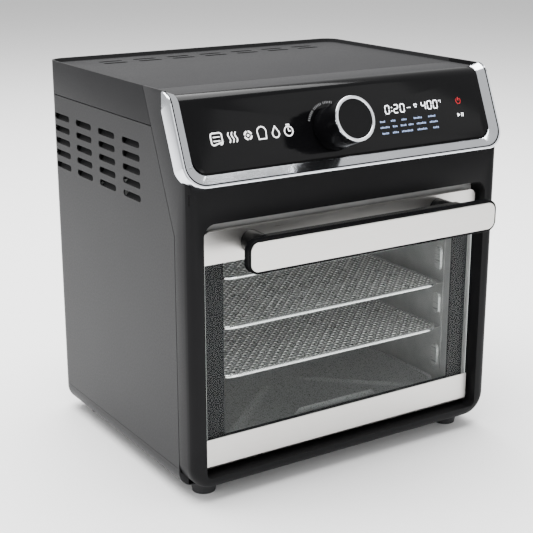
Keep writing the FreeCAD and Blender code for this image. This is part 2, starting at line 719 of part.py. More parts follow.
def drip_tray():
    """Shallow pressed pan that lies on the chamber floor."""
    body = new_body("drip_tray")
    edge = D["tray_half"]
    front = split_y + 1
    back = front + D["tray_deep"]
    thin = D["liner_wall"]
    low = D["tray_z"]
    high = low + D["tray_rim"]
    pad(body, "XY_Plane", low, high, rectangle(-edge, front, edge, back, 10))
    pocket(body, "XY_Plane", low + thin, high + 1,
           rectangle(-edge + thin, front + thin, edge - thin, back - thin, 9))
    pad(body, "XY_Plane", high - thin, high, rectangle(-edge - 5, front - 1, edge + 5, back + 1, 13),
        rectangle(-edge + thin, front + thin, edge - thin, back - thin, 9))


# ---------------------------------------------------------------- heat and air

def hot_air():
    """Fan duct over the chamber, ring element, guard and the motor with both fans."""
    y = D["fan_y"]
    roof = D["cavity_top"] + D["liner_wall"]
    duct_top = roof + D["duct_high"]
    thin = D["liner_wall"]
    duct = new_body("fan_duct")
    pad(duct, "XY_Plane", roof, duct_top, circle(0, y, D["duct_r"]))
    pocket(duct, "XY_Plane", roof - 1, duct_top - thin, circle(0, y, D["duct_r"] - thin))
    pocket(duct, "XY_Plane", duct_top - 3, duct_top + 1, circle(0, y, 8))

    guard = new_body("fan_guard")
    guard_low = D["cavity_top"] - 2
    pad(guard, "XY_Plane", guard_low, guard_low + 1.2, circle(0, 0, D["duct_r"] - 1))
    slot = pocket(guard, "XY_Plane", guard_low - 1, guard_low + 3, rectangle(18, -2.5, 88, 2.5, 2.4))
    around_z(guard, slot, 24)
    put(guard, 0, y, 0)

    ring_z = D["cavity_top"] + 9
    ring = doc.addObject("Part::Torus", "element_ring")
    bind(ring, "Radius1", D["element_r"])
    bind(ring, "Radius2", D["element_rod"])
    put(ring, 0, y, ring_z)
    legs = [rod(f"element_leg_{side}", "z", D["element_r"] * side, y, ring_z, D["element_rod"], 36)
            for side in (-1, 1)]
    join("heating_element", [ring] + legs)
    for side in (-1, 1):
        pocket(duct, "XY_Plane", duct_top - 3, duct_top + 1, circle(D["element_r"] * side, y, 5))
    clips = []
    for number, side in enumerate((-1, 1)):
        start = y + (D["element_r"] + D["element_rod"]) * side
        clips.append(box(f"element_clip_{number}", -4, start if side > 0 else start - 2, ring_z - 4,
                         4, start + 2 if side > 0 else start, duct_top - thin, node=False))
    group("element_clips", clips)

    motor_low = duct_top + D["motor_rise"]
    shaft_low = ring_z
    rod("motor_shaft", "z", 0, y, shaft_low, D["shaft_r"], 74, node=True)
    bladed_disc("convection_fan", D["fan_r"], ring_z + 4, 14, 10)
    bladed_disc("cooling_fan", D["cool_fan_r"], duct_top + 3, 10, 12)

    motor = new_body("fan_motor")
    pad(motor, "XY_Plane", motor_low, motor_low + D["motor_high"], circle(0, y, D["motor_r"]),
        circle(0, y, D["shaft_r"] + D["fit"]))
    bracket = new_body("motor_bracket")
    leg = D["bracket_leg"]
    toe, back_of_leg, sole = leg + 8, leg + 1.5, duct_top + 1.5
    pad(bracket, "XZ_Plane", y - 16, y + 16, closed_path([
        (-toe, duct_top), (-leg, duct_top), (-leg, motor_low - 2), (leg, motor_low - 2),
        (leg, duct_top), (toe, duct_top), (toe, sole), (back_of_leg, sole),
        (back_of_leg, motor_low), (-back_of_leg, motor_low), (-back_of_leg, sole),
        (-toe, sole)]))
    pocket(bracket, "XY_Plane", motor_low - 4, motor_low + 1, circle(0, y, 8))

    rod("thermal_cutout", "z", -50, y + 60, duct_top, 8, 11, node=True)
    side = D["cavity_half"]
    rod("temperature_probe", "x", side - 20, D["probe_y"], D["lamp_z"], 2.5, 34, node=True)
    rod("cavity_lamp", "x", side - 6, D["lamp_y"], D["lamp_z"], 6, 22, node=True)
    lens = new_body("lamp_lens")
    pad(lens, "YZ_Plane", side - 9, side - 7, circle(D["lamp_y"], D["lamp_z"], D["lens_r"]))


def bladed_disc(label, radius, z, high, count):
    """Sheet impeller: a disc with a hub and upright blades, turning on the motor shaft."""
    body = new_body(label)
    bore = D["shaft_r"] + D["fit"]
    pad(body, "XY_Plane", z, z + 1, circle(0, 0, radius), circle(0, 0, bore))
    pad(body, "XY_Plane", z, z + high, circle(0, 0, 8), circle(0, 0, bore))
    blade = pad(body, "XY_Plane", z, z + high, rectangle(radius * 0.45, -0.6, radius * 0.98, 0.6))
    around_z(body, blade, count)
    put(body, 0, D["fan_y"], 0)


# ---------------------------------------------------------------- controls

def lean_back(item):
    """Turn a piece modelled upright so that its front lies on the slanted panel."""
    item.Placement = FreeCAD.Placement(Vector(), FreeCAD.Rotation(Vector(-1, 0, 0),
                                                                 DRIVING["lean_angle"]))
    put(item, 0, knob_y, D["knob_z"])


def controls():
    """Knob with its encoder, the display and the board; all lie along the slanted panel."""
    x = D["knob_x"]
    shaft_r = D["shaft_r"]
    bore = shaft_r + D["fit"]
    radius = D["knob_r"]
    near = -(D["knob_travel"] + 0.5)
    far = near - D["knob_long"]

    shell = new_body("knob_shell")
    pad(shell, "XZ_Plane", far, near, circle(x, 0, radius))
    pocket(shell, "XZ_Plane", far + 4, near + 1, circle(x, 0, radius - 2.5))
    pad(shell, "XZ_Plane", far + 3, near - 8, circle(x, 0, 6))
    pocket(shell, "XZ_Plane", far + 5.5, near + 1, circle(x, 0, bore))
    pocket(shell, "XZ_Plane", far - 1, far + 2, circle(x, 0, radius - 2.6))
    pocket(shell, "XZ_Plane", far - 1, far + 1.2, circle(x, 0, radius + 1))

    ring = new_body("knob_ring")
    solid = pad(ring, "XZ_Plane", far - 0.6, far + 1.2, circle(x, 0, radius),
                circle(x, 0, radius - 2.6))
    tip = (far - 0.6).number
    fillet(ring, solid, 0.7, lambda mid: abs(mid.y - tip) < 0.01)

    cap = new_body("knob_cap")
    pad(cap, "XZ_Plane", far + 0.3, far + 2, circle(x, 0, radius - 2.65))

    shaft = new_body("encoder_shaft")
    pad(shaft, "XZ_Plane", far + 7, 10, circle(x, 0, shaft_r))

    base = new_body("encoder_base")
    pad(base, "XZ_Plane", 9.4, 13, rectangle(x - 7, -7, x + 7, 7))
    pad(base, "XZ_Plane", 0.2, 9.5, circle(x, 0, 4.6))
    pocket(base, "XZ_Plane", -1, 11.5, circle(x, 0, bore))

    display = new_body("display_module")
    pad(display, "XZ_Plane", 3.2, 12,
        rectangle(D["display_left"] + 2, -1, D["display_right"] - 2, 18))

    board = new_body("control_board")
    pad(board, "XZ_Plane", 13.2, 14.8, rectangle(-110, -20, 130, 18))
    for piece in (shell, ring, cap, shaft, base, display, board):
        lean_back(piece)


def electrics():
    """Power board, door switch and the gland where the mains lead would enter."""
    low = D["board_z"]
    power = new_body("power_board")
    pad(power, "XY_Plane", low, low + 1.6, rectangle(-140, -40, -60, 60))
    pad(power, "XY_Plane", low + 1, low + 22, rectangle(-130, -30, -100, 10))
    pad(power, "XY_Plane", low + 1, low + 15, rectangle(-90, 10, -70, 45))
    box("board_tray", -half + wall, -45, low - 2, -55, 65, low)

    x, z = D["switch_x"], D["switch_z"]
    box("door_switch", x - 5.5, flange_y + 4, z - 6, x + 5.5, flange_y + 22, z + 6)
    rod("switch_plunger", "y", x, bar_back_y + 0.4, z, 1.6, 4.1, node=True)

    x, z = D["gland_x"], D["gland_z"]
    bore = circle(x, z, D["lead_r"])
    gland = new_body("cord_gland")
    pad(gland, "XZ_Plane", rear_y - 6, rear_y + 5, circle(x, z, D["gland_r"]), bore)
    pad(gland, "XZ_Plane", rear_y, rear_y + 3, circle(x, z, D["gland_r"] + 3), bore)


# ---------------------------------------------------------------- feet and fasteners

def small_parts():
    """Feet, rear spacers, case screws, hinge brackets and the felt round the chamber."""
    pan = D["pan_z"]
    front_y = split_y + 5
    feet = []
    spots = [(D["foot_x"] * side, y) for side in (-1, 1)
             for y in (front_y, front_y + D["foot_run"])]
    for number, (x, y) in enumerate(spots):
        foot = doc.addObject("Part::Cone", f"foot_{number}")
        bind(foot, "Radius1", D["foot_r"] - 1.5)
        bind(foot, "Radius2", D["foot_r"])
        bind(foot, "Height", pan)
        put(foot, x, y, 0)
        feet.append(foot)
    group("feet", feet)

    low = D["spacer_z"]
    spacers = [box(f"spacer_{number}", x - 9, rear_y, low, x + 9, rear_y + D["spacer_deep"],
                   low + 20, node=False) for number, x in enumerate((-D["spacer_x"], D["spacer_x"]))]
    group("rear_spacers", spacers)
    heads = [(x, z) for x in (-D["screw_x"], 0, D["screw_x"])
             for z in (D["pan_rise"] + 9, D["seam_z"] - 8.5)]
    screws = [rod(f"case_screw_{number}", "y", x, rear_y, z, D["screw_r"], 1.8)
              for number, (x, z) in enumerate(heads)]
    group("case_screws", screws)

    for side in (-1, 1):
        bracket = new_body("left_hinge_bracket" if side < 0 else "right_hinge_bracket")
        thick = D["bracket_thick"]
        near = D["bracket_x"] if side > 0 else -D["bracket_x"] - thick
        pad(bracket, "YZ_Plane", near, near + thick,
            rectangle(hinge_y - 6.4, D["hinge_z"] - 6, flange_y - gap, D["hinge_z"] + 30),
            circle(hinge_y, D["hinge_z"], D["pin_r"] + D["fit"]))

    blanket = new_body("insulation_blanket")
    edge = D["cavity_half"] + D["liner_wall"] + 0.5
    deep = cavity_back + D["liner_wall"] + 0.5
    near = flange_y + 10
    outside, behind = edge + D["felt_thick"], deep + D["felt_thick"]
    pad(blanket, "XY_Plane", D["cavity_floor"] + 2, D["cavity_top"] - 40, closed_path([
        (edge, near), (outside, near), (outside, behind, 10), (-outside, behind, 10),
        (-outside, near), (-edge, near), (-edge, deep), (edge, deep)]))


# ---------------------------------------------------------------- build and export

for side in (-1, 1):
    side_panel(side)
top_cover()
rear_panel()
base_pan()
front_frame()
panel_trim()
control_panel()
door()
handle()
cavity()
racks()
drip_tray()
hot_air()
controls()
electrics()
small_parts()
doc.recompute()

faults = [f"{item.Name} failed: {item.State}" for item in doc.Objects
          if "Invalid" in item.State or "Error" in item.State]
faults += [f"{cut.Name} has no shape" for body, cut in cuts if cut.Shape.isNull()]
faults += [f"{cut.Name} cuts nothing from {body.Label}" for body, cut in cuts
           if not cut.Shape.isNull() and cut.Shape.Volume > cut.BaseFeature.Shape.Volume - 0.01]
if faults:
    raise RuntimeError("\n".join(faults))

os.makedirs("parts", exist_ok=True)
for item in nodes:
    shape = item.Shape
    if shape.isNull() or not shape.isValid():
        raise RuntimeError(f"{item.Label} has no valid shape")
    shape.exportStep(f"parts/{item.Label}.step")
print(len(nodes), "nodes written")
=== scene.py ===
"""Looks of a counter-top toaster oven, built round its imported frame. Metres, +Z up, -Y the door side."""
import json
import math

import bmesh
import bpy
from mathutils import Matrix, Vector


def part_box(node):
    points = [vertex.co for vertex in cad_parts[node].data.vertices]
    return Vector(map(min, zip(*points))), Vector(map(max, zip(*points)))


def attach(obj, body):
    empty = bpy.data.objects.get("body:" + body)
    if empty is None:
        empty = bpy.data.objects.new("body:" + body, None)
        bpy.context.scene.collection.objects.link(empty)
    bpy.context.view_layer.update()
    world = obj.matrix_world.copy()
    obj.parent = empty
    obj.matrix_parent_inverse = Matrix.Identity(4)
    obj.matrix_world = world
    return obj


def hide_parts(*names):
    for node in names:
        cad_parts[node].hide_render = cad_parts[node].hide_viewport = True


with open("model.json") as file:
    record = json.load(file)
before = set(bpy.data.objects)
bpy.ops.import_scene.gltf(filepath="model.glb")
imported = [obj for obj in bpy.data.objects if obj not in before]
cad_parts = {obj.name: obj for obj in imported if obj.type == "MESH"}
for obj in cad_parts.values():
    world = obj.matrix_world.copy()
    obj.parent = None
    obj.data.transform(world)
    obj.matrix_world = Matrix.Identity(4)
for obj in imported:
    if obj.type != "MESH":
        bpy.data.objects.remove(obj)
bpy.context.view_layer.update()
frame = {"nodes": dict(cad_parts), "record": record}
nodes = frame["nodes"]

MM = 0.001
LEAN = math.radians(23)          # the control head leans back by this much
CAMERA_SPOT = Vector((-0.6054, -0.9262, 0.4908))
CAMERA_TURN = math.radians(32.6)
CAMERA_PITCH = math.radians(16.9)
CAMERA_LENS = 83.4


# ---------------------------------------------------------------- node helpers

def srgb(code):
    """Linear colour of an sRGB hex value."""
    channels = [int(code[i:i + 2], 16) / 255 for i in (1, 3, 5)]
    linear = [c / 12.92 if c <= 0.04045 else ((c + 0.055) / 1.055) ** 2.4 for c in channels]
    return (*linear, 1.0)


def add(tree, kind, sockets=None, **settings):
    """Adds a node; a socket given as another node's output is linked, any other value is set."""
    node = tree.nodes.new(kind)
    for name, value in settings.items():
        setattr(node, name, value)
    for name, value in (sockets or {}).items():
        if isinstance(value, bpy.types.NodeSocket):
            tree.links.new(value, node.inputs[name])
        else:
            node.inputs[name].default_value = value
    return node


def new_finish(name, color, roughness, metallic=0.0, **plain):
    """Material with its shader, and the object's own place in millimetres to pattern by."""
    finish = bpy.data.materials.new(name)
    finish.use_nodes = True
    tree = finish.node_tree
    shader = tree.nodes["Principled BSDF"]
    shader.inputs["Base Color"].default_value = srgb(color)
    shader.inputs["Roughness"].default_value = roughness
    shader.inputs["Metallic"].default_value = metallic
    for socket, value in plain.items():
        shader.inputs[socket.replace("_", " ")].default_value = value
    place = add(tree, "ShaderNodeTexCoord").outputs["Object"]
    scale = add(tree, "ShaderNodeVectorMath", {0: place, 1: (1000, 1000, 1000)},
                operation="MULTIPLY")
    return finish, tree, shader, scale.outputs[0]


def noise(tree, place, size_mm, stretch=(1, 1, 1), detail=2.0):
    """Soft noise whose grain is size_mm, drawn out along an axis by its stretch."""
    rate = tuple(1 / (size_mm * s) for s in stretch)
    mapped = add(tree, "ShaderNodeMapping", {0: place, "Scale": rate})
    grain = add(tree, "ShaderNodeTexNoise", {"Vector": mapped.outputs[0], "Scale": 1.0,
                                             "Detail": detail, "Roughness": 0.55})
    return grain.outputs["Fac"]


def spread(tree, value, low, high, start=0.3, end=0.7):
    """Stretches a 0 to 1 pattern to run from low to high."""
    ranged = add(tree, "ShaderNodeMapRange", {"Value": value, "From Min": start, "From Max": end,
                                              "To Min": low, "To Max": high})
    return ranged.outputs["Result"]


def tint(tree, value, dark, light):
    """Colour that goes from one hex value to another along a 0 to 1 pattern."""
    mixed = add(tree, "ShaderNodeMix", {0: value, 6: srgb(dark), 7: srgb(light)}, data_type="RGBA")
    return mixed.outputs[2]


def raise_by(tree, shader, value, height_mm, strength=1.0):
    """Gives the shader a bump of a real height."""
    bump = add(tree, "ShaderNodeBump", {"Height": value, "Distance": height_mm * MM,
                                        "Strength": strength})
    tree.links.new(bump.outputs[0], shader.inputs["Normal"])


# ---------------------------------------------------------------- finishes

def powder_coated_steel(name="powder_coated_steel", dark="#1e1e1f", light="#232324"):
    """Polyester powder on sheet steel: even satin graphite with a faint orange peel."""
    finish, tree, shader, place = new_finish(name, dark, 0.45, Specular_IOR_Level=0.12)
    peel = noise(tree, place, 1.6, detail=1.0)      # coarser than the real 0.3 mm, so that it shows
    cloud = noise(tree, place, 60)
    tree.links.new(tint(tree, cloud, dark, light), shader.inputs["Base Color"])
    tree.links.new(spread(tree, peel, 0.41, 0.5), shader.inputs["Roughness"])
    raise_by(tree, shader, peel, 0.02)
    return finish


def moulded_abs(name="moulded_abs", dark="#1e1e1f", light="#232324", rough=0.5, gloss=0.08):
    """Injection-moulded ABS from a spark-eroded tool: an even fine grain that stays dull."""
    finish, tree, shader, place = new_finish(name, dark, rough, Specular_IOR_Level=gloss)
    grain = noise(tree, place, 0.9, detail=3.0)
    cloud = noise(tree, place, 45)
    tree.links.new(tint(tree, cloud, dark, light), shader.inputs["Base Color"])
    tree.links.new(spread(tree, grain, rough - 0.05, rough + 0.08), shader.inputs["Roughness"])
    raise_by(tree, shader, grain, 0.015)
    return finish


def abs_with_painted_shade():
    """ABS front frame, one black plastic: lighter grey high on its sides and top, as they are lit, and
    painted shade elsewhere, blacker on its front, inside faces and lower sides.
    """
    finish, tree, shader, place = new_finish("moulded_abs_front_painted_shade", "#141415", 0.48,
                                             Specular_IOR_Level=0.08)
    front = add(tree, "ShaderNodeAttribute", attribute_name="painted_shade_face").outputs["Fac"]
    height = add(tree, "ShaderNodeSeparateXYZ", {0: place}).outputs["Z"]
    # painted shade: the frame goes blacker from 262 mm down to 222 mm, against the light the floor throws
    # up
    painted_low_shade = spread(tree, height, 0.62, 0.12, 222, 262)
    painted_shade_part = add(tree, "ShaderNodeMath", {0: front, 1: painted_low_shade}, operation="MAXIMUM")
    grain = noise(tree, place, 0.9, detail=3.0)
    cloud = noise(tree, place, 45)
    # lit grey for the sides and top and shaded black for the rest: painted light and shade on one plastic
    lit_grey_tone = tint(tree, cloud, "#252526", "#2a2a2b")
    black = tint(tree, cloud, "#0d0d0e", "#131314")
    both = add(tree, "ShaderNodeMix", {0: painted_shade_part.outputs[0], 6: lit_grey_tone, 7: black},
               data_type="RGBA")
    tree.links.new(both.outputs[2], shader.inputs["Base Color"])
    tree.links.new(spread(tree, grain, 0.43, 0.55), shader.inputs["Roughness"])
    raise_by(tree, shader, grain, 0.015)
    return finish


def satin_chrome():
    """Chrome-plated ABS with a satin nickel layer: bright and softly blurred, with painted shade near
    black in its groove.
    """
    finish, tree, shader, place = new_finish("satin_chrome", "#e2e5ea", 0.13, 1.0)
    cloud = noise(tree, place, 14)
    groove_shade = add(tree, "ShaderNodeAttribute", attribute_name="groove_shade").outputs["Fac"]
    # painted shade: faces weighted as groove take near black in place of chrome
    tree.links.new(tint(tree, groove_shade, "#e2e5ea", "#2a2b2d"), shader.inputs["Base Color"])
    tree.links.new(spread(tree, cloud, 0.1, 0.16), shader.inputs["Roughness"])
    return finish


def gloss_black(name="gloss_black_fascia", rough=0.12, level=0.14):
    """Polished black acrylic: deep, with sharp reflections and hardly any wave."""
    finish, tree, shader, place = new_finish(name, "#080809", rough,
                                             Specular_IOR_Level=level)
    wave = noise(tree, place, 30)
    tree.links.new(spread(tree, wave, rough - 0.02, rough + 0.03), shader.inputs["Roughness"])
    raise_by(tree, shader, wave, 0.03)
    return finish


def matt_black():
    """Knob face, turned then painted: fine rings that only show where light grazes."""
    finish, tree, shader, place = new_finish("matt_black_turned", "#0c0c0d", 0.5,
                                             Specular_IOR_Level=0.1)
    grain = noise(tree, place, 0.7)
    tree.links.new(tint(tree, grain, "#070708", "#0d0d0e"), shader.inputs["Base Color"])
    tree.links.new(spread(tree, grain, 0.44, 0.58), shader.inputs["Roughness"])
    return finish


def brushed_stainless():
    """Stainless strip brushed along its length: long fine scratches drawn out sideways."""
    finish, tree, shader, place = new_finish("brushed_stainless", "#cfcdc9", 0.3, 1.0,
                                             Anisotropic=0.5)
    scratch = noise(tree, place, 0.8, (45, 1, 1), detail=4.0)
    cloud = noise(tree, place, 30, (3, 1, 1))
    tree.links.new(tint(tree, scratch, "#cbc9c5", "#d6d4d1"), shader.inputs["Base Color"])
    rough = add(tree, "ShaderNodeMath", {0: spread(tree, scratch, 0.3, 0.37),
                                         1: spread(tree, cloud, -0.03, 0.03)}, operation="ADD")
    tree.links.new(rough.outputs[0], shader.inputs["Roughness"])
    raise_by(tree, shader, scratch, 0.003)
    return finish


def clear_glass(name="tempered_glass", color="#f8faf9", rough=0.0, gloss=0.0):
    """Clear tempered float glass; its IOR is set low, so that it mirrors little of the pale floor."""
    finish, tree, shader, place = new_finish(name, color, rough, Transmission_Weight=1.0, IOR=1.16,
                                             Specular_IOR_Level=gloss)
    wave = noise(tree, place, 80)
    tree.links.new(tint(tree, wave, color, "#f5f8f7"), shader.inputs["Base Color"])
    path = add(tree, "ShaderNodeLightPath")
    open_to_lamps = add(tree, "ShaderNodeBsdfTransparent", {"Color": srgb("#f2f4f3")})
    mix = add(tree, "ShaderNodeMixShader", {0: path.outputs["Is Shadow Ray"],
                                            1: shader.outputs[0], 2: open_to_lamps.outputs[0]})
    tree.links.new(mix.outputs[0], tree.nodes["Material Output"].inputs["Surface"])
    return finish


def aluminised_steel(name="aluminised_steel", dark="#a4a4a3", light="#bcbcbb", rough=0.38):
    """Hot-dip aluminised sheet: dull silver with a cloudy, slightly rolled grain."""
    finish, tree, shader, place = new_finish(name, light, rough, 0.4)
    cloud = noise(tree, place, 22, detail=4.0)
    rolled = noise(tree, place, 1.4, (1, 12, 1), detail=3.0)
    tree.links.new(tint(tree, spread(tree, cloud, 0, 1), dark, light), shader.inputs["Base Color"])
    tree.links.new(spread(tree, rolled, rough - 0.08, rough + 0.1), shader.inputs["Roughness"])
    raise_by(tree, shader, rolled, 0.02)
    return finish


def bright_wire():
    """Drawn steel wire with bright chrome: almost a mirror, with faint drawing lines."""
    finish, tree, shader, place = new_finish("bright_chromed_wire", "#f4f4f4", 0.16, 1.0)
    line = noise(tree, place, 1.0, (10, 10, 1))
    tree.links.new(spread(tree, line, 0.12, 0.22), shader.inputs["Roughness"])
    return finish


def crimped_wire():
    """Stainless wire woven into mesh, with a painted highlight: near white at each crown where the wires
    cross.
    """
    finish, tree, shader, place = new_finish("crimped_steel_wire", "#8a8a88", 0.34, 0.6)
    patch = noise(tree, place, 9)
    crown = add(tree, "ShaderNodeAttribute", attribute_name="crown").outputs["Fac"]
    # painted glint: colour goes near white towards each crown, standing in for its highlight
    crown_glint = spread(tree, crown, 0.0, 1.0, 0.55, 0.95)
    tree.links.new(tint(tree, crown_glint, "#7c7c7a", "#fbfbfa"), shader.inputs["Base Color"])
    tree.links.new(spread(tree, patch, 0.24, 0.38), shader.inputs["Roughness"])
    return finish


def baked_enamel():
    """Grey non-stick enamel on the pressed tray: soft sheen with a fine fleck."""
    finish, tree, shader, place = new_finish("baked_grey_enamel", "#8c8c8c", 0.3, 0.4)
    fleck = noise(tree, place, 1.1, detail=3.0)
    tree.links.new(tint(tree, fleck, "#848484", "#969696"), shader.inputs["Base Color"])
    tree.links.new(spread(tree, fleck, 0.24, 0.36), shader.inputs["Roughness"])
    return finish


def plated_steel(name="zinc_plated_steel", dark="#8e9298", light="#b4b8bd", rough=0.34):
    """Zinc-plated or bare bright metal: cool silver with a faint spangle."""
    finish, tree, shader, place = new_finish(name, light, rough, 1.0)
    spangle = noise(tree, place, 3.0, detail=3.0)
    tree.links.new(tint(tree, spangle, dark, light), shader.inputs["Base Color"])
    tree.links.new(spread(tree, spangle, rough - 0.06, rough + 0.08), shader.inputs["Roughness"])
    return finish


def heated_steel():
    """Steel sheath that has been red hot: brown-grey with straw and blue patches."""
    finish, tree, shader, place = new_finish("heat_darkened_steel", "#4a423c", 0.5, 0.7)
    patch = noise(tree, place, 7, detail=3.0)
    tree.links.new(tint(tree, spread(tree, patch, 0, 1), "#332f2e", "#6a5a4a"),
                   shader.inputs["Base Color"])
    tree.links.new(spread(tree, patch, 0.42, 0.6), shader.inputs["Roughness"])
    return finish


def soft_rubber():
    """Moulded silicone rubber: dull black with a dusty bloom."""
    finish, tree, shader, place = new_finish("silicone_rubber", "#17171a", 0.7)
    bloom = noise(tree, place, 6)
    tree.links.new(tint(tree, bloom, "#131315", "#1f1f21"), shader.inputs["Base Color"])
    tree.links.new(spread(tree, bloom, 0.62, 0.8), shader.inputs["Roughness"])
    raise_by(tree, shader, noise(tree, place, 0.8), 0.02)
    return finish


def fibre_felt():
    """Needled glass-fibre felt: cream, matt and hairy."""
    finish, tree, shader, place = new_finish("glass_fibre_felt", "#d8d2c0", 0.95)
    hair = noise(tree, place, 0.9, (1, 4, 1), detail=5.0)
    tree.links.new(tint(tree, hair, "#bdb6a2", "#e6e1d2"), shader.inputs["Base Color"])
    raise_by(tree, shader, hair, 0.3)
    return finish


def circuit_resist():
    """Green solder resist over copper: glossy with lighter tracks."""
    finish, tree, shader, place = new_finish("green_solder_resist", "#1c4a2a", 0.3)
    track = add(tree, "ShaderNodeTexBrick", {"Vector": place, "Scale": 0.12, "Mortar Size": 0.06,
                                             "Color1": srgb("#173f24"), "Color2": srgb("#1a4628"),
                                             "Mortar": srgb("#2f6b3f")})
    tree.links.new(track.outputs["Color"], shader.inputs["Base Color"])
    return finish


def screen_ink(name, color, dim, light=0.0):
    """Ink printed on the fascia, or lit from behind: small even marks."""
    finish, tree, shader, place = new_finish(name, color, 0.5)
    speck = noise(tree, place, 0.6)
    shade = tint(tree, speck, dim, color)
    tree.links.new(shade, shader.inputs["Base Color"])
    if light:
        tree.links.new(shade, shader.inputs["Emission Color"])
        shader.inputs["Emission Strength"].default_value = light
    return finish


# ---------------------------------------------------------------- mesh helpers

def make_piece(name, mesh, finish, body, angle=35):
    """Links a mesh, sharp past an angle, as a piece that rides on a body."""
    mesh.name = name
    mesh.materials.clear()
    mesh.materials.append(finish)
    mesh.shade_smooth()
    mesh.set_sharp_from_angle(angle=math.radians(angle))
    item = bpy.data.objects.new(name, mesh)
    bpy.context.scene.collection.objects.link(item)
    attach(item, body)
    return item


def mesh_from(work, recalculate=True):
    """Turns a bmesh into a mesh with outward normals, and frees it."""
    if recalculate:
        bmesh.ops.recalc_face_normals(work, faces=work.faces)
    mesh = bpy.data.meshes.new("shape")
    work.to_mesh(mesh)
    work.free()
    return mesh


def prism(work, outline, place, low, high):
    """Closed slab: an outline of (u, v) put in the world by place(u, v, lift)."""
    bottom = [work.verts.new(place(u, v, low)) for u, v in outline]
    top = [work.verts.new(place(u, v, high)) for u, v in outline]
    work.faces.new(bottom)
    work.faces.new(list(reversed(top)))
    count = len(outline)
    for i in range(count):
        j = (i + 1) % count
        work.faces.new([bottom[j], bottom[i], top[i], top[j]])


def ring_prism(work, outer, inner, place, low, high):
    """Closed slab with a window: outer and inner outlines have the same number of points."""
    loops = []
    for outline in (outer, inner):
        for lift in (low, high):
            loops.append([work.verts.new(place(u, v, lift)) for u, v in outline])
    out_low, out_high, in_low, in_high = loops
    count = len(outer)
    for i in range(count):
        j = (i + 1) % count
        work.faces.new([out_low[i], out_low[j], out_high[j], out_high[i]])
        work.faces.new([in_low[j], in_low[i], in_high[i], in_high[j]])
        work.faces.new([out_low[j], out_low[i], in_low[i], in_low[j]])
        work.faces.new([out_high[i], out_high[j], in_high[j], in_high[i]])


def rounded(u0, v0, u1, v1, radius, steps=8):
    """Rounded rectangle as a list of points, anticlockwise from the lower right corner."""
    points = []
    corners = ((u1 - radius, v0 + radius, -90), (u1 - radius, v1 - radius, 0),
               (u0 + radius, v1 - radius, 90), (u0 + radius, v0 + radius, 180))
    for u, v, start in corners:
        for step in range(steps + 1):
            angle = math.radians(start + 90 * step / steps)
            points.append((u + radius * math.cos(angle), v + radius * math.sin(angle)))
    return points


def disc(u, v, radius, count=24):
    turn = 2 * math.pi / count
    return [(u + radius * math.cos(turn * i), v + radius * math.sin(turn * i)) for i in range(count)]


def softened(node, width, finish, body, ease=None):
    """Copy of a node with its sharp edges rounded, eased back from a seam; it stands for the node."""
    work = bmesh.new()
    work.from_mesh(nodes[node].data)
    bmesh.ops.remove_doubles(work, verts=work.verts, dist=2e-6)
    if ease:
        for vert in work.verts:
            vert.co = ease(vert.co)
    bmesh.ops.dissolve_limit(work, angle_limit=math.radians(0.5), verts=work.verts,
                             edges=work.edges)
    sharp = [edge for edge in work.edges
             if edge.is_manifold and edge.calc_face_angle() > math.radians(30)]
    bmesh.ops.bevel(work, geom=sharp, offset=width, offset_type="OFFSET", segments=3,
                    profile=0.5, affect="EDGES", clamp_overlap=True)
    bmesh.ops.triangulate(work, faces=work.faces)
    mesh = mesh_from(work, recalculate=False)
    item = make_piece(f"{node}_shell", mesh, finish, body)
    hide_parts(node)
    return item


# ---------------------------------------------------------------- geometry node helpers

def node_tree(name, inputs):
    """Empty geometry tree with named number inputs; returns it and its input sockets."""
    tree = bpy.data.node_groups.new(name, "GeometryNodeTree")
    tree.interface.new_socket("Geometry", in_out="OUTPUT", socket_type="NodeSocketGeometry")
    for label, value in inputs.items():
        kind = "NodeSocketInt" if isinstance(value, int) else "NodeSocketFloat"
        tree.interface.new_socket(label, in_out="INPUT", socket_type=kind).default_value = value
    entry = tree.nodes.new("NodeGroupInput")
    return tree, entry.outputs


def sum_of(tree, operation, first, second, third=0.5):
    sockets = {0: first, 1: second, 2: third}
    return add(tree, "ShaderNodeMath", sockets, operation=operation).outputs[0]


def finish_tree(tree, geometry, finish):
    """Ends a tree with real geometry and its material."""
    real = add(tree, "GeometryNodeRealizeInstances", {0: geometry})
    painted = add(tree, "GeometryNodeSetMaterial", {"Geometry": real.outputs[0]})
    painted.inputs["Material"].default_value = finish
    end = tree.nodes.new("NodeGroupOutput")
    tree.links.new(painted.outputs[0], end.inputs[0])


def grown_mesh(tree, sizes):
    """Runs a geometry tree with its named sizes and returns the result as a plain mesh."""
    seed = bpy.data.objects.new("seed", bpy.data.meshes.new("seed"))
    bpy.context.scene.collection.objects.link(seed)
    modifier = seed.modifiers.new("grow", "NODES")
    modifier.node_group = tree
    for item in tree.interface.items_tree:
        if item.in_out == "INPUT" and item.name in sizes:
            modifier[item.identifier] = sizes[item.name]
    graph = bpy.context.evaluated_depsgraph_get()
    mesh = bpy.data.meshes.new_from_object(seed.evaluated_get(graph))
    seed.modifiers.remove(modifier)
    bpy.data.objects.remove(seed)
    return mesh


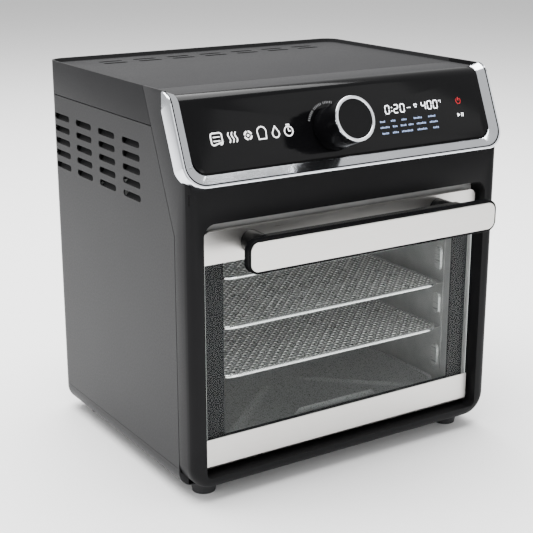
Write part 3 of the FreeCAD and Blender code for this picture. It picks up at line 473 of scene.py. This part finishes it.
def woven_tree(finish):
    """Plain-weave mesh: crimped wires both ways, each passing over and under its neighbours.

    The two sets mesh when Width is an odd number of pitches.
    """
    tree, sizes = node_tree("woven_mesh", {"Width": 0.23, "Depth": 0.2, "Pitch": 0.005,
                                           "Wire": 0.0005})
    parts = []
    for along, across, turn in (("Width", "Depth", 0.0), ("Depth", "Width", math.pi / 2)):
        waves = sum_of(tree, "DIVIDE", sizes[along], sizes["Pitch"])
        count = sum_of(tree, "ADD", sum_of(tree, "MULTIPLY", waves, 2.0), 1.0)
        step = sum_of(tree, "MULTIPLY", sizes["Pitch"], 0.5)
        start = sum_of(tree, "MULTIPLY", sizes[along], -0.5)
        first = add(tree, "ShaderNodeCombineXYZ", {0: start})
        stride = add(tree, "ShaderNodeCombineXYZ", {0: step})
        line = add(tree, "GeometryNodeMeshLine", {"Count": count, "Start Location": first.outputs[0],
                                                  "Offset": stride.outputs[0]})
        for phase in (0, 1):
            index = add(tree, "GeometryNodeInputIndex").outputs[0]
            quarter = sum_of(tree, "MULTIPLY", index, math.pi / 2)
            shifted = sum_of(tree, "ADD", quarter, math.pi * (phase + (turn > 0)))
            height = sum_of(tree, "MULTIPLY", sum_of(tree, "SINE", shifted, 0.0), sizes["Wire"])
            rise = add(tree, "ShaderNodeCombineXYZ", {2: height})
            # stores each point's height, 0 to 1, as 'crown', the mask of the wire's painted glint
            crown_glint = add(tree, "GeometryNodeStoreNamedAttribute",
                       {"Geometry": line.outputs[0], "Name": "crown"}, data_type="FLOAT")
            ratio = sum_of(tree, "DIVIDE", height, sizes["Wire"])
            value = [socket for socket in crown_glint.inputs if socket.name == "Value"][0]
            tree.links.new(sum_of(tree, "MULTIPLY_ADD", ratio, 0.5), value)
            crimped = add(tree, "GeometryNodeSetPosition", {0: crown_glint.outputs[0],
                                                            "Offset": rise.outputs[0]})
            curve = add(tree, "GeometryNodeMeshToCurve", {0: crimped.outputs[0]})
            section = add(tree, "GeometryNodeCurvePrimitiveCircle", {"Resolution": 5,
                                                                     "Radius": sizes["Wire"]})
            tube = add(tree, "GeometryNodeCurveToMesh", {"Curve": curve.outputs[0],
                                                         "Profile Curve": section.outputs[0],
                                                         "Fill Caps": True})
            pitch2 = sum_of(tree, "MULTIPLY", sizes["Pitch"], 2.0)
            rows = sum_of(tree, "FLOOR", sum_of(tree, "DIVIDE", sizes[across], pitch2), 0.0)
            low = sum_of(tree, "ADD", sum_of(tree, "MULTIPLY", sizes[across], -0.5),
                         sum_of(tree, "MULTIPLY", sizes["Pitch"], 0.5 + phase))
            begin = add(tree, "ShaderNodeCombineXYZ", {1: low})
            jump = add(tree, "ShaderNodeCombineXYZ", {1: pitch2})
            spots = add(tree, "GeometryNodeMeshLine", {"Count": rows, "Offset": jump.outputs[0],
                                                       "Start Location": begin.outputs[0]})
            many = add(tree, "GeometryNodeInstanceOnPoints", {"Points": spots.outputs[0],
                                                              "Instance": tube.outputs[0]})
            turned = add(tree, "GeometryNodeTransform", {"Geometry": many.outputs[0],
                                                         "Rotation": (0, 0, turn)})
            parts.append(turned.outputs[0])
    joined = tree.nodes.new("GeometryNodeJoinGeometry")
    for part in parts:
        tree.links.new(part, joined.inputs[0])
    finish_tree(tree, joined.outputs[0], finish)
    return tree


def blade_tree(name, finish):
    """Grid of small tilted blades, such as louvres behind slots; columns run along X, rows along Z."""
    tree, sizes = node_tree(name, {"Columns": 4, "Rows": 5, "Pitch X": 0.046, "Pitch Z": 0.011,
                                   "Long": 0.032, "Deep": 0.006, "Thick": 0.001, "Tilt": 0.6})
    size = add(tree, "ShaderNodeCombineXYZ", {0: sizes["Long"], 1: sizes["Deep"],
                                              2: sizes["Thick"]})
    blade = add(tree, "GeometryNodeMeshCube", {"Size": size.outputs[0]})
    tilt = add(tree, "ShaderNodeCombineXYZ", {0: sizes["Tilt"]})
    tilted = add(tree, "GeometryNodeTransform", {"Geometry": blade.outputs[0],
                                                 "Rotation": tilt.outputs[0]})
    right = add(tree, "ShaderNodeCombineXYZ", {0: sizes["Pitch X"]})
    up = add(tree, "ShaderNodeCombineXYZ", {2: sizes["Pitch Z"]})
    row = add(tree, "GeometryNodeMeshLine", {"Count": sizes["Columns"], "Offset": right.outputs[0]})
    blades = add(tree, "GeometryNodeInstanceOnPoints", {"Points": row.outputs[0],
                                                        "Instance": tilted.outputs[0]})
    column = add(tree, "GeometryNodeMeshLine", {"Count": sizes["Rows"], "Offset": up.outputs[0]})
    grid = add(tree, "GeometryNodeInstanceOnPoints", {"Points": column.outputs[0],
                                                      "Instance": blades.outputs[0]})
    finish_tree(tree, grid.outputs[0], finish)
    return tree


# ---------------------------------------------------------------- places on the oven

glass_low, glass_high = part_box("door_glass")
trim_low, trim_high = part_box("panel_trim")
PANEL_UP = Vector((0, math.sin(LEAN), math.cos(LEAN)))
PANEL_OUT = Vector((0, -math.cos(LEAN), math.sin(LEAN)))
joints = {joint["name"]: joint for joint in frame["record"]["behaviour"]["joints"]}
KNOB_SPOT = Vector(joints["knob_turn"]["pos_m"])
TRIM_PROUD = 3.5 * MM                        # the trim's face stands this far off the fascia


def on_panel(u, v, lift=0.0):
    """Point on the slanted fascia: u across from the middle, v up the slope from the knob's axis."""
    return Vector((u, KNOB_SPOT.y, KNOB_SPOT.z)) + PANEL_UP * v + PANEL_OUT * lift


# ---------------------------------------------------------------- finishes for the CAD nodes

powder = powder_coated_steel()
abs_plastic = moulded_abs()
frame_plastic = abs_with_painted_shade()
chrome = satin_chrome()
fascia = gloss_black()
gloss_grip = gloss_black("gloss_black_abs", 0.22, 0.03)
knob_black = matt_black()
stainless = brushed_stainless()
glass = clear_glass()
# pale ground edge of the glass, which also paints in the edge's highlight
glass_edge_and_highlight = screen_ink("ground_edge_and_highlight", "#dfe6e3", "#c3ccc8")
chamber = aluminised_steel()
wire = bright_wire()
mesh_wire = crimped_wire()
enamel = baked_enamel()
zinc = plated_steel()
element = heated_steel()
rubber = soft_rubber()
felt = fibre_felt()
board = circuit_resist()
fan_metal = plated_steel("pressed_aluminium", "#a5a8ab", "#c9cbcd", 0.4)
black_sheet = moulded_abs("black_enamelled_sheet", "#161618", "#1c1c1e", 0.6, 0.04)
nylon = moulded_abs("black_nylon", "#141416", "#1c1c1e", 0.5)
white_ink = screen_ink("backlit_white", "#ffffff", "#f2f6ff", 2.5)
blue_ink = screen_ink("backlit_pale_blue", "#93a7cf", "#8297c2", 0.6)
# painted light: the white pad print glows at 0.9, though nothing lights it from behind
glowing_pad_ink = screen_ink("white_pad_print_painted_glow", "#f4f4f4", "#e6e6e6", 0.9)
grey_print = screen_ink("grey_pad_print", "#8c8c8e", "#7e7e80")
red_ink = screen_ink("backlit_red", "#c01420", "#a8101c", 0.35)
lens = clear_glass("pressed_lens_glass", "#f4f4f0", 0.05, 0.5)

FINISHES = {
    powder: ["left_side_panel", "right_side_panel", "rear_panel", "base_pan"],
    abs_plastic: ["rear_spacers", "cord_gland", "board_tray", "top_cover"],
    frame_plastic: ["front_frame"],
    chrome: ["panel_trim", "knob_ring"],
    fascia: ["control_panel"],
    gloss_grip: ["handle_grip", "knob_shell"],
    knob_black: ["knob_cap"],
    stainless: ["door_upper_strip", "door_lower_strip", "handle_plate"],
    glass: ["door_glass"],
    lens: ["lamp_lens", "cavity_lamp"],
    black_sheet: ["door_inner_frame"],
    chamber: ["cavity_liner", "cavity_back_wall", "left_rack_rails", "right_rack_rails",
              "fan_duct", "fan_guard"],
    enamel: ["drip_tray"],
    zinc: ["left_hinge_bracket", "right_hinge_bracket", "motor_bracket", "hinge_pins",
           "handle_screws", "case_screws", "element_clips", "motor_shaft", "encoder_shaft",
           "thermal_cutout", "fan_motor"],
    wire: ["lower_rack_frame", "middle_rack_frame", "upper_rack_frame"],
    mesh_wire: ["lower_rack_mesh", "middle_rack_mesh", "upper_rack_mesh"],
    element: ["heating_element", "temperature_probe"],
    fan_metal: ["convection_fan", "cooling_fan"],
    rubber: ["door_seal", "feet"],
    felt: ["insulation_blanket"],
    board: ["control_board", "power_board"],
    nylon: ["door_switch", "display_module", "encoder_base", "switch_plunger"],
}
for finish, names in FINISHES.items():
    for name in names:
        data = nodes[name].data
        data.materials.clear()
        data.materials.append(finish)


# ---------------------------------------------------------------- casing

SPLIT_Y, SPLIT_KINK_Z = -94.3 * MM, 230 * MM    # where frame and wrap meet, upright to this height
SPLIT_SLOPE = 48 / 113.3                        # and how far it leans back above
SEAM_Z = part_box("top_cover")[0].z
SEAM_EASE = 0.5 * MM


def mark_painted_shade_faces(item):
    """Marks the frame's front and inside faces for the painted shade; only its outer sides and top keep
    the lit grey.
    """
    mesh = item.data
    weight = mesh.attributes.new("painted_shade_face", "FLOAT", "CORNER")
    side_x, top_z = 155 * MM, 325 * MM
    for face in mesh.polygons:
        middle, facing = face.center, face.normal
        outer_side = abs(middle.x) > side_x and middle.x * facing.x > 0 and abs(facing.x) > 0.9
        upper_skin = middle.z > top_z and facing.z > 0.5
        for corner in face.loop_indices:
            weight.data[corner].value = 0.0 if outer_side or upper_skin else 1.0


def off_the_split(spot):
    """Draws the frame's rear edge forward, so that its seam with the wrap is seen as a line."""
    split = SPLIT_Y + max(spot.z - SPLIT_KINK_Z, 0) * SPLIT_SLOPE
    at_seam = abs(spot.y - split) < 0.25 * MM
    return Vector((spot.x, spot.y - SEAM_EASE, spot.z)) if at_seam else spot


def off_the_sides(spot):
    """Lifts the lid's lower edge, so that its seam with the side sheets is seen as a line."""
    at_seam = spot.z < SEAM_Z + 0.05 * MM and abs(spot.x) > 150 * MM
    return Vector((spot.x, spot.y, spot.z + SEAM_EASE)) if at_seam else spot


mark_painted_shade_faces(softened("front_frame", 0.8 * MM, frame_plastic, "housing",
                         ease=off_the_split))
softened("top_cover", 0.5 * MM, abs_plastic, "housing", ease=off_the_sides)
softened("control_panel", 0.4 * MM, fascia, "housing")
softened("handle_grip", 0.8 * MM, gloss_grip, "door")
softened("knob_shell", 0.5 * MM, gloss_grip, "knob")


def seam_flanges():
    """Turned-in top edge of each side sheet, which closes the seam under the lid."""
    work = bmesh.new()
    strip = [(y * MM, z * MM) for y, z in ((-63, 309), (128, 309), (128, 313.1), (-63, 313.1))]
    for side in (-1, 1):
        prism(work, strip, lambda u, v, lift: Vector((side * lift, u, v)), 157.4 * MM, 158.7 * MM)
    make_piece("side_sheet_flanges", mesh_from(work), powder, "housing")


def vent_louvres():
    """Pressed hoods inside the side vents, so that no slot looks straight through."""
    front_y, rear_y, low_z, depth_x = -21.8 * MM, 117.1 * MM, 247.0 * MM, 155.2 * MM
    grid = {"Columns": 4, "Rows": 5, "Pitch X": (rear_y - front_y) / 3, "Pitch Z": 11.3 * MM,
            "Long": 33 * MM, "Deep": 10.5 * MM, "Thick": 0.7 * MM, "Tilt": math.radians(50)}
    mesh = grown_mesh(hoods, grid)
    both = bmesh.new()
    for turn, x, y in ((-90, -depth_x, rear_y), (90, depth_x, front_y)):
        side = mesh.copy()
        side.transform(Matrix.Translation((x, y, low_z)) @
                       Matrix.Rotation(math.radians(turn), 4, "Z"))
        both.from_mesh(side)
    make_piece("side_vent_hoods", mesh_from(both, recalculate=False), powder, "housing",
               60)


hoods = blade_tree("vent_hoods", powder)
vent_louvres()
seam_flanges()


# ---------------------------------------------------------------- bright trim

# Cut through the trim: how far in from its outer edge, and how far above its face.
TRIM_SECTION = [(0.0, -1.4), (0.35, -0.5), (1.0, 0.0), (2.0, -0.1), (2.3, -1.0), (2.9, -1.05),
                (3.2, -0.4), (10.0, -2.9), (10.6, -3.5), (10.6, -6.0), (2.3, -6.0)]
SHADED_GROOVE_SIDES = (3, 4, 5)                     # which sides of that cut line its groove, painted dark as shade in the chrome
TRIM_ROUND = 14.0 * MM                       # radius where the trim bends over the head's top
TRIM_CORNER = 18 * MM                        # and at its lower corners


def trim_stations():
    """Stops along the left half of the trim, from its rear tip to the middle of the bottom.

    Each is a function of (inward, above) in millimetres, and how deep the outer skirt goes there.
    """
    half_wide = trim_high.x
    foot = on_panel(0, 0, TRIM_PROUD)
    drop = (foot.z - trim_low.z) / math.cos(LEAN)
    rise = (trim_high.z - foot.z) / math.cos(LEAN)
    bend = math.radians(90) - LEAN
    tangent = rise - TRIM_ROUND * math.tan(bend / 2)
    centre = on_panel(0, tangent, TRIM_PROUD) - PANEL_OUT * TRIM_ROUND
    corner_start = -drop + TRIM_CORNER

    def on_bend(turn):
        normal = PANEL_OUT * math.cos(turn) + PANEL_UP * math.sin(turn)

        def place(inward, above):
            spot = centre + normal * (TRIM_ROUND + above * MM)
            return Vector((-half_wide + inward * MM, spot.y, spot.z))
        return place

    def on_leg(v):
        return lambda inward, above: on_panel(-half_wide + inward * MM, v, TRIM_PROUD + above * MM)

    def on_corner(turn):
        def place(inward, above):
            radius = TRIM_CORNER - 6.3 * MM * inward / 10.6
            u = -half_wide + inward * MM + radius - radius * math.cos(turn)
            v = -drop + inward * MM + radius - radius * math.sin(turn)
            return on_panel(u, v, TRIM_PROUD + above * MM)
        return place

    def on_foot(u):
        return lambda inward, above: on_panel(u, -drop + inward * MM, TRIM_PROUD + above * MM)

    leg_skirt, foot_skirt = 15.0, 5.4
    stops = [(on_bend(bend * (1 - i / 10)), leg_skirt) for i in range(11)]
    stops += [(on_leg(tangent + (corner_start - tangent) * i / 6), leg_skirt) for i in range(1, 7)]
    for i in range(13):
        skirt = leg_skirt + (foot_skirt - leg_skirt) * i / 12
        stops.append((on_corner(math.radians(90) * i / 12), skirt))
    stops += [(on_foot((TRIM_CORNER - half_wide) * (1 - i / 8)), foot_skirt) for i in range(1, 9)]
    return stops


def swept_trim():
    """The whole trim as one closed moulding, its right half a mirror image of its left."""
    work = bmesh.new()
    left = []
    for place, skirt in trim_stations():
        section = TRIM_SECTION + [(2.3, -max(skirt, 6.01)), (0.0, -max(skirt, 6.01))]
        left.append([place(inward, above) for inward, above in section])
    right = [[Vector((-spot.x, spot.y, spot.z)) for spot in ring] for ring in reversed(left[:-1])]
    rings = [[work.verts.new(spot) for spot in ring] for ring in left + right]
    count = len(rings[0])
    groove_shade_weights = []
    for before, after in zip(rings, rings[1:]):
        for i in range(count):
            j = (i + 1) % count
            work.faces.new([before[i], before[j], after[j], after[i]])
            groove_shade_weights += [float(i in SHADED_GROOVE_SIDES)] * 4
    work.faces.new(rings[0])
    work.faces.new(list(reversed(rings[-1])))
    mesh = mesh_from(work)
    # groove faces weighted 1, for the painted shade in the chrome
    weight = mesh.attributes.new("groove_shade", "FLOAT", "CORNER")
    for corner, value in enumerate(groove_shade_weights):
        weight.data[corner].value = value
    item = make_piece("panel_trim_moulding", mesh, chrome, "housing", 24)
    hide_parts("panel_trim")


swept_trim()


# ---------------------------------------------------------------- marks on the fascia

SEGMENTS = {"0": "abcdef", "2": "abged", "4": "fgbc"}


def panel_print(name, shapes, finish):
    """Thin printed or lit shapes that lie on the fascia, one piece."""
    work = bmesh.new()
    for outline in shapes:
        points = [(u * MM, v * MM) for u, v in outline]
        prism(work, points, on_panel, 0.01 * MM, 0.08 * MM)
    make_piece(name, mesh_from(work), finish, "housing", 60)


def stroke(points, width):
    """Outlines of the bars that draw a line of a width through points, a little over at each end."""
    bars = []
    for (u0, v0), (u1, v1) in zip(points, points[1:]):
        run = math.hypot(u1 - u0, v1 - v0)
        du, dv = (u1 - u0) / run, (v1 - v0) / run
        a, b = -dv * width / 2, du * width / 2
        over_u, over_v = du * width * 0.3, dv * width * 0.3
        u0, v0, u1, v1 = u0 - over_u, v0 - over_v, u1 + over_u, v1 + over_v
        bars.append([(u0 - a, v0 - b), (u1 - a, v1 - b), (u1 + a, v1 + b), (u0 + a, v0 + b)])
    return bars


def arc_points(u, v, radius, start, end, count=12):
    turns = [math.radians(start + (end - start) * i / count) for i in range(count + 1)]
    return [(u + radius * math.cos(turn), v + radius * math.sin(turn)) for turn in turns]


def digit(glyph, u, v, wide=4.2, high=7.0, line=0.85):
    """One seven-segment numeral with its lower left corner at u, v and a slight slant."""
    gap, middle = 0.2, v + high / 2
    left, right, top = u, u + wide, v + high
    ends = {"a": ((left, top), (right, top)), "b": ((right, top), (right, middle)),
            "c": ((right, middle), (right, v)), "d": ((left, v), (right, v)),
            "e": ((left, middle), (left, v)), "f": ((left, top), (left, middle)),
            "g": ((left, middle), (right, middle))}
    shapes = []
    for letter in SEGMENTS[glyph]:
        (u0, v0), (u1, v1) = ends[letter]
        run = math.hypot(u1 - u0, v1 - v0)
        du, dv = (u1 - u0) / run, (v1 - v0) / run
        tip = line / 2
        spots = [(gap, 0), (gap + tip, tip), (run - gap - tip, tip), (run - gap, 0),
                 (run - gap - tip, -tip), (gap + tip, -tip)]
        bar = [(u0 + du * s - dv * t, v0 + dv * s + du * t) for s, t in spots]
        shapes.append([(a + (b - v) * 0.07, b) for a, b in bar])
    return shapes


READOUT_LOW = 7.2                            # foot of the numerals, up the slope


def readings():
    """Time and heat in lit numerals, with a colon, a rule, a small fan mark and a degree."""
    low = READOUT_LOW
    shapes = digit("0", 41.8, low) + [disc(48.9, low + 2.0, 0.55, 10), disc(49.2, low + 5.0, 0.55, 10)]
    shapes += digit("2", 51.2, low) + digit("0", 58.0, low)
    shapes += stroke([(65.6, low + 3.3), (69.4, low + 3.3)], 0.5)
    for turn in range(3):
        shapes += stroke(arc_points(75.0, low + 4.6, 1.4, turn * 120, turn * 120 + 75, 4), 0.6)
    shapes += digit("4", 81.4, low) + digit("0", 88.0, low) + digit("0", 94.6, low)
    shapes += [disc(101.6, low + 6.4, 0.5, 10)] + stroke([(103.4, low + 6.8), (103.4, low + 4.4)], 0.5)
    panel_print("display_numerals", shapes, white_ink)


def mode_marks():
    """Three rows of short lit bars, one for each cooking mode."""
    rows = [(0.0, (34.0, 45.5, 57.0, 70.5, 86.5), (5.6, 5.4, 5.8, 9.4, 8.4)),
            (-5.0, (33.2, 46.5, 55.0, 63.5, 72.5, 87.0), (10.0, 5.2, 6.4, 5.6, 10.6, 9.2)),
            (-10.2, (34.0, 45.0, 54.8, 72.0, 89.5), (7.2, 6.8, 12.4, 11.0, 6.6))]
    shapes = []
    for v, starts, lengths in rows:
        for start, length in zip(starts, lengths):
            ticks = max(int(length / 1.4), 2)
            step = length / ticks
            for i in range(ticks):
                tall = (1.2, 1.6, 1.35)[(i + int(start)) % 3]
                u = start + i * step
                shapes.append([(u, v), (u + step * 0.6, v), (u + step * 0.6, v + tall), (u, v + tall)])
    panel_print("mode_bars", shapes, blue_ink)


def dial_ring_marks():
    """Ring of short dashes round the upper left of the knob, in three groups."""
    shapes, u = [], KNOB_SPOT.x / MM
    count, near, far = 6, 22.0, 23.6
    for start, end in ((156, 134), (127, 106), (99, 78)):
        for i in range(count):
            turn = math.radians(start + (end - start) * i / (count - 1))
            shapes += stroke([(u + near * math.cos(turn), near * math.sin(turn)),
                              (u + far * math.cos(turn), far * math.sin(turn))], 0.55)
    panel_print("dial_dashes", shapes, grey_print)


def touch_marks():
    """Power ring in red and a play and pause mark."""
    shapes = stroke(arc_points(123.5, 11.4, 2.5, 125, 415, 20), 0.7)
    shapes += stroke([(123.5, 11.9), (123.5, 14.6)], 0.7)
    panel_print("power_mark", shapes, red_ink)
    shapes = [[(119.6, -2.6), (122.6, -1.0), (119.6, 0.6)]]
    shapes += stroke([(124.2, -2.5), (124.2, 0.5)], 0.65) + stroke([(125.9, -2.5), (125.9, 0.5)], 0.65)
    panel_print("play_pause_mark", shapes, white_ink)


def cooking_marks():
    """Row of plain cooking pictograms: rack, heat, fan, bread, drop and timer."""
    line, v = 1.0, 3.0
    shapes = stroke(rounded(-131, v - 4.8, -121, v + 4.8, 2, 3) + [(-121, v - 2.8)], 1.1)
    for level in (-1.6, 1.6):
        shapes += stroke([(-128.8, v + level), (-123.2, v + level)], 0.9)
    for row in range(3):
        u = -114.5 + row * 3.2
        wave = [(u + math.sin(t / 9 * math.tau) * 0.8, v - 4.0 + t * 8 / 9) for t in range(10)]
        shapes += stroke(wave, line)
    for blade in range(4):
        turn = blade * 90 + 20
        shapes += stroke(arc_points(-97.0, v, 3.2, turn, turn + 55, 5), 1.4)
    shapes.append(disc(-97.0, v, 1.1, 12))
    slice_top = arc_points(-84.0, v + 1.6, 4.2, 200, -20, 10)
    shapes += stroke([(-87.4, v - 4.2)] + slice_top + [(-80.6, v - 4.2), (-87.4, v - 4.2)], line)
    drop = [(-71.0, v + 5.0)] + arc_points(-71.0, v - 1.2, 3.2, 35, -215, 12) + [(-71.0, v + 5.0)]
    shapes += stroke(drop, line)
    shapes += stroke(arc_points(-58.5, v - 0.4, 4.0, 0, 360, 18), line)
    shapes += stroke([(-58.5, v + 2.2), (-58.5, v - 0.4), (-56.6, v - 0.4)], 0.9)
    shapes += stroke([(-60.0, v + 5.0), (-57.0, v + 5.0)], line)
    # in the glowing pad ink, a painted light
    panel_print("cooking_pictograms", shapes, glowing_pad_ink)


readings()
mode_marks()
dial_ring_marks()
touch_marks()
cooking_marks()


# ---------------------------------------------------------------- racks

def woven_rack(level):
    """Woven wire sheet that fills a rack's bent rod."""
    node = f"{level}_rack_mesh"
    low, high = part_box(node)
    pitch = 4.8 * MM
    width = (2 * int((high.x - low.x) / pitch / 2 - 0.5) + 1) * pitch    # an odd count meshes
    depth = int((high.y - low.y) / pitch) * pitch
    mesh = grown_mesh(weave, {"Width": width, "Depth": depth, "Pitch": pitch, "Wire": 0.5 * MM})
    mesh.transform(Matrix.Translation((low + high) / 2))
    item = make_piece(f"{level}_rack_weave", mesh, mesh_wire, f"{level}_rack", 60)
    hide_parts(node)


weave = woven_tree(mesh_wire)
for rack_level in ("lower", "middle", "upper"):
    woven_rack(rack_level)


# ---------------------------------------------------------------- door

WINDOW_HALF, LIP_HALF = 127.2 * MM, 121.5 * MM    # the inner frame's window, and its turned-in lip


def door_pane():
    """Glass a hair thinner than its seat, its pale ground edge, which also stands in as a painted
    highlight on the edge, and the window's black lip behind it.
    """
    skin, corner, edge = 0.05 * MM, 3 * MM, 0.5 * MM

    def upright(u, v, lift):
        return Vector((u, lift, v))

    work = bmesh.new()
    outline = rounded(glass_low.x, glass_low.z, glass_high.x, glass_high.z, corner)
    prism(work, outline, upright, glass_low.y + skin, glass_high.y - skin)
    pane = make_piece("door_glass_pane", mesh_from(work), glass, "door")
    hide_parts("door_glass")

    # pale ring on the glass's front face: a ground edge and a painted highlight
    work = bmesh.new()
    outer = rounded(glass_low.x - skin, glass_low.z, glass_high.x + skin, glass_high.z, corner)
    inner = rounded(glass_low.x + edge, glass_low.z + edge, glass_high.x - edge,
                    glass_high.z - edge, corner - edge)
    ring_prism(work, outer, inner, upright, glass_low.y + 0.01 * MM, glass_low.y + 0.04 * MM)
    make_piece("door_glass_edge_and_highlight", mesh_from(work), glass_edge_and_highlight, "door")

    work = bmesh.new()
    outer = rounded(-WINDOW_HALF, 51.8 * MM, WINDOW_HALF, 207.2 * MM, 2.5 * MM)
    inner = rounded(-LIP_HALF, 52.6 * MM, LIP_HALF, 206.4 * MM, 2 * MM)
    ring_prism(work, outer, inner, upright, glass_high.y + skin, glass_high.y + 2 * MM)
    make_piece("door_window_lip", mesh_from(work), black_sheet, "door")


door_pane()


# ---------------------------------------------------------------- drip tray

def pressed_tray():
    """Drip tray with a rolled rim, crossed stiffening ribs and a folded tab to pull it by."""
    low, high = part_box("drip_tray")
    rim, wall = 5 * MM, 0.8 * MM
    x0, x1, y0, y1 = low.x + rim, high.x - rim, low.y + 1 * MM, high.y - 1 * MM
    columns, rows = 120, 110
    work = bmesh.new()

    middle = Vector((x0 + x1, y0 + y1)) / 2
    corners = [Vector((x1 - x0, y1 - y0)) / 2 * Vector((i, j)) for i in (-1, 1) for j in (-1, 1)]
    bottom, rib_wide, rib_high, wall_run = low.z + wall, 2.6 * MM, 2.6 * MM, 5 * MM

    def rib(x, y):
        """Height of the pressed pattern: four ribs from near the middle to near the corners."""
        best = 0.0
        for corner in corners:
            start, run = middle + corner * 0.2, corner * 0.66
            along = min(max((Vector((x, y)) - start).dot(run) / run.length_squared, 0), 1)
            away = (Vector((x, y)) - start - run * along).length
            best = max(best, math.exp(-(away / rib_wide) ** 2))
        return best

    def top(x, y):
        inset = min(x - x0, x1 - x, y - y0, y1 - y)
        side = min(max(inset / wall_run, 0), 1)
        smooth = side * side * (3 - 2 * side)
        rim_z = high.z - 0.4 * MM
        return rim_z - (rim_z - bottom) * smooth + rib(x, y) * rib_high * smooth

    grid = []
    for j in range(rows + 1):
        line = []
        for i in range(columns + 1):
            x = x0 + (x1 - x0) * i / columns
            y = y0 + (y1 - y0) * j / rows
            line.append(work.verts.new((x, y, top(x, y))))
        grid.append(line)
    for j in range(rows):
        for i in range(columns):
            work.faces.new([grid[j][i], grid[j][i + 1], grid[j + 1][i + 1], grid[j + 1][i]])
    shell = mesh_from(work)
    item = bpy.data.objects.new("tray_sheet", shell)
    bpy.context.scene.collection.objects.link(item)
    thick = item.modifiers.new("sheet", "SOLIDIFY")
    thick.thickness = 0.6 * MM
    thick.offset = -1
    graph = bpy.context.evaluated_depsgraph_get()
    sheet = bpy.data.meshes.new_from_object(item.evaluated_get(graph))
    bpy.data.objects.remove(item)

    work = bmesh.new()
    work.from_mesh(sheet)
    ring_prism(work, rounded(low.x, low.y, high.x, high.y, 13 * MM),
               rounded(x0 - 0.2 * MM, y0 - 0.2 * MM, x1 + 0.2 * MM, y1 + 0.2 * MM, 9 * MM),
               lambda u, v, lift: Vector((u, v, lift)), high.z - wall, high.z)
    tab = [(-46 * MM, high.z - 0.4 * MM), (46 * MM, high.z - 0.4 * MM), (39.5 * MM, high.z + 6 * MM),
           (-39.5 * MM, high.z + 6 * MM)]
    prism(work, tab, lambda u, v, lift: Vector((u, lift, v)), low.y + 0.1 * MM, low.y + 0.9 * MM)
    piece = make_piece("drip_tray_pressing", mesh_from(work), enamel, "drip_tray")
    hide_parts("drip_tray")


pressed_tray()


# ---------------------------------------------------------------- chamber sides

def chamber_pads():
    """Rounded stops pressed out of each chamber wall near the front, between the shelves."""
    work = bmesh.new()
    wall_x, rise, root = 127.15 * MM, 1.6 * MM, 0.4 * MM
    middle_y, half_wide = -79 * MM, 5 * MM
    for side in (-1, 1):
        for z0, z1 in ((54 * MM, 78 * MM), (108 * MM, 130 * MM), (151 * MM, 175 * MM)):
            outline = rounded(middle_y - half_wide, z0, middle_y + half_wide, z1, 4.6 * MM, 6)
            small = [(u + (middle_y - u) * 0.25, v + ((z0 + z1) / 2 - v) * 0.12) for u, v in outline]
            base = [work.verts.new((side * wall_x, u, v)) for u, v in outline]
            face = [work.verts.new((side * (wall_x - rise), u, v)) for u, v in small]
            back = [work.verts.new((side * (wall_x + root), u, v)) for u, v in outline]
            count = len(outline)
            for i in range(count):
                j = (i + 1) % count
                work.faces.new([base[i], base[j], face[j], face[i]])
                work.faces.new([back[i], back[j], base[j], base[i]])
            work.faces.new(face)
            work.faces.new(back)
    make_piece("chamber_pressed_stops", mesh_from(work), highlit_chamber_steel, "housing")


# painted highlight: the pressed stops take a lighter copy of the chamber steel, as if lit
highlit_chamber_steel = aluminised_steel("chamber_steel_painted_highlight", "#b4b4b2", "#cccccb", 0.3)
chamber_pads()


# ---------------------------------------------------------------- stage

def stage():
    """Pale floor, soft lamps and the camera."""
    bpy.ops.mesh.primitive_plane_add(size=12)
    floor = bpy.context.object
    floor.name = "floor"
    pale = bpy.data.materials.new("pale_floor")
    pale.use_nodes = True
    pale.node_tree.nodes["Principled BSDF"].inputs["Base Color"].default_value = srgb("#f4f4f4")
    pale.node_tree.nodes["Principled BSDF"].inputs["Roughness"].default_value = 0.9
    floor.data.materials.append(pale)

    world = bpy.data.worlds.new("studio")
    world.use_nodes = True
    tree = world.node_tree
    path = add(tree, "ShaderNodeLightPath")
    seen = add(tree, "ShaderNodeMix", {"Factor": path.outputs["Is Camera Ray"]}, data_type="FLOAT")
    seen.inputs[2].default_value = 0.75
    seen.inputs[3].default_value = 4.0
    tree.nodes["Background"].inputs["Color"].default_value = (1, 1, 1, 1)
    tree.links.new(seen.outputs[0], tree.nodes["Background"].inputs["Strength"])
    bpy.context.scene.world = world

    def soft_box(name, spot, aim, width, height, power):
        light = bpy.data.lights.new(name, "AREA")
        light.shape = "RECTANGLE"
        light.size, light.size_y = width, height
        light.energy = power
        item = bpy.data.objects.new(name, light)
        item.location = spot
        item.rotation_euler = (Vector(aim) - Vector(spot)).to_track_quat("-Z", "Y").to_euler()
        bpy.context.scene.collection.objects.link(item)

    soft_box("top_box", (-0.1, 0.3, 2.0), (0, 0, 0.1), 2.4, 2.4, 190)
    soft_box("left_box", (-2.2, -0.2, 0.9), (0, 0, 0.15), 1.6, 1.6, 16)
    soft_box("front_box", (0.3, -2.2, 0.55), (0, 0, 0.12), 0.9, 0.8, 13)
    soft_box("right_card", (1.6, -2.1, 1.45), (0, 0, 0.25), 1.3, 1.3, 6)

    camera = bpy.data.cameras.new("camera")
    camera.lens = CAMERA_LENS
    eye = bpy.data.objects.new("camera", camera)
    eye.location = CAMERA_SPOT
    eye.rotation_euler = (math.pi / 2 - CAMERA_PITCH, 0, -CAMERA_TURN)
    bpy.context.scene.collection.objects.link(eye)
    bpy.context.scene.camera = eye


stage()
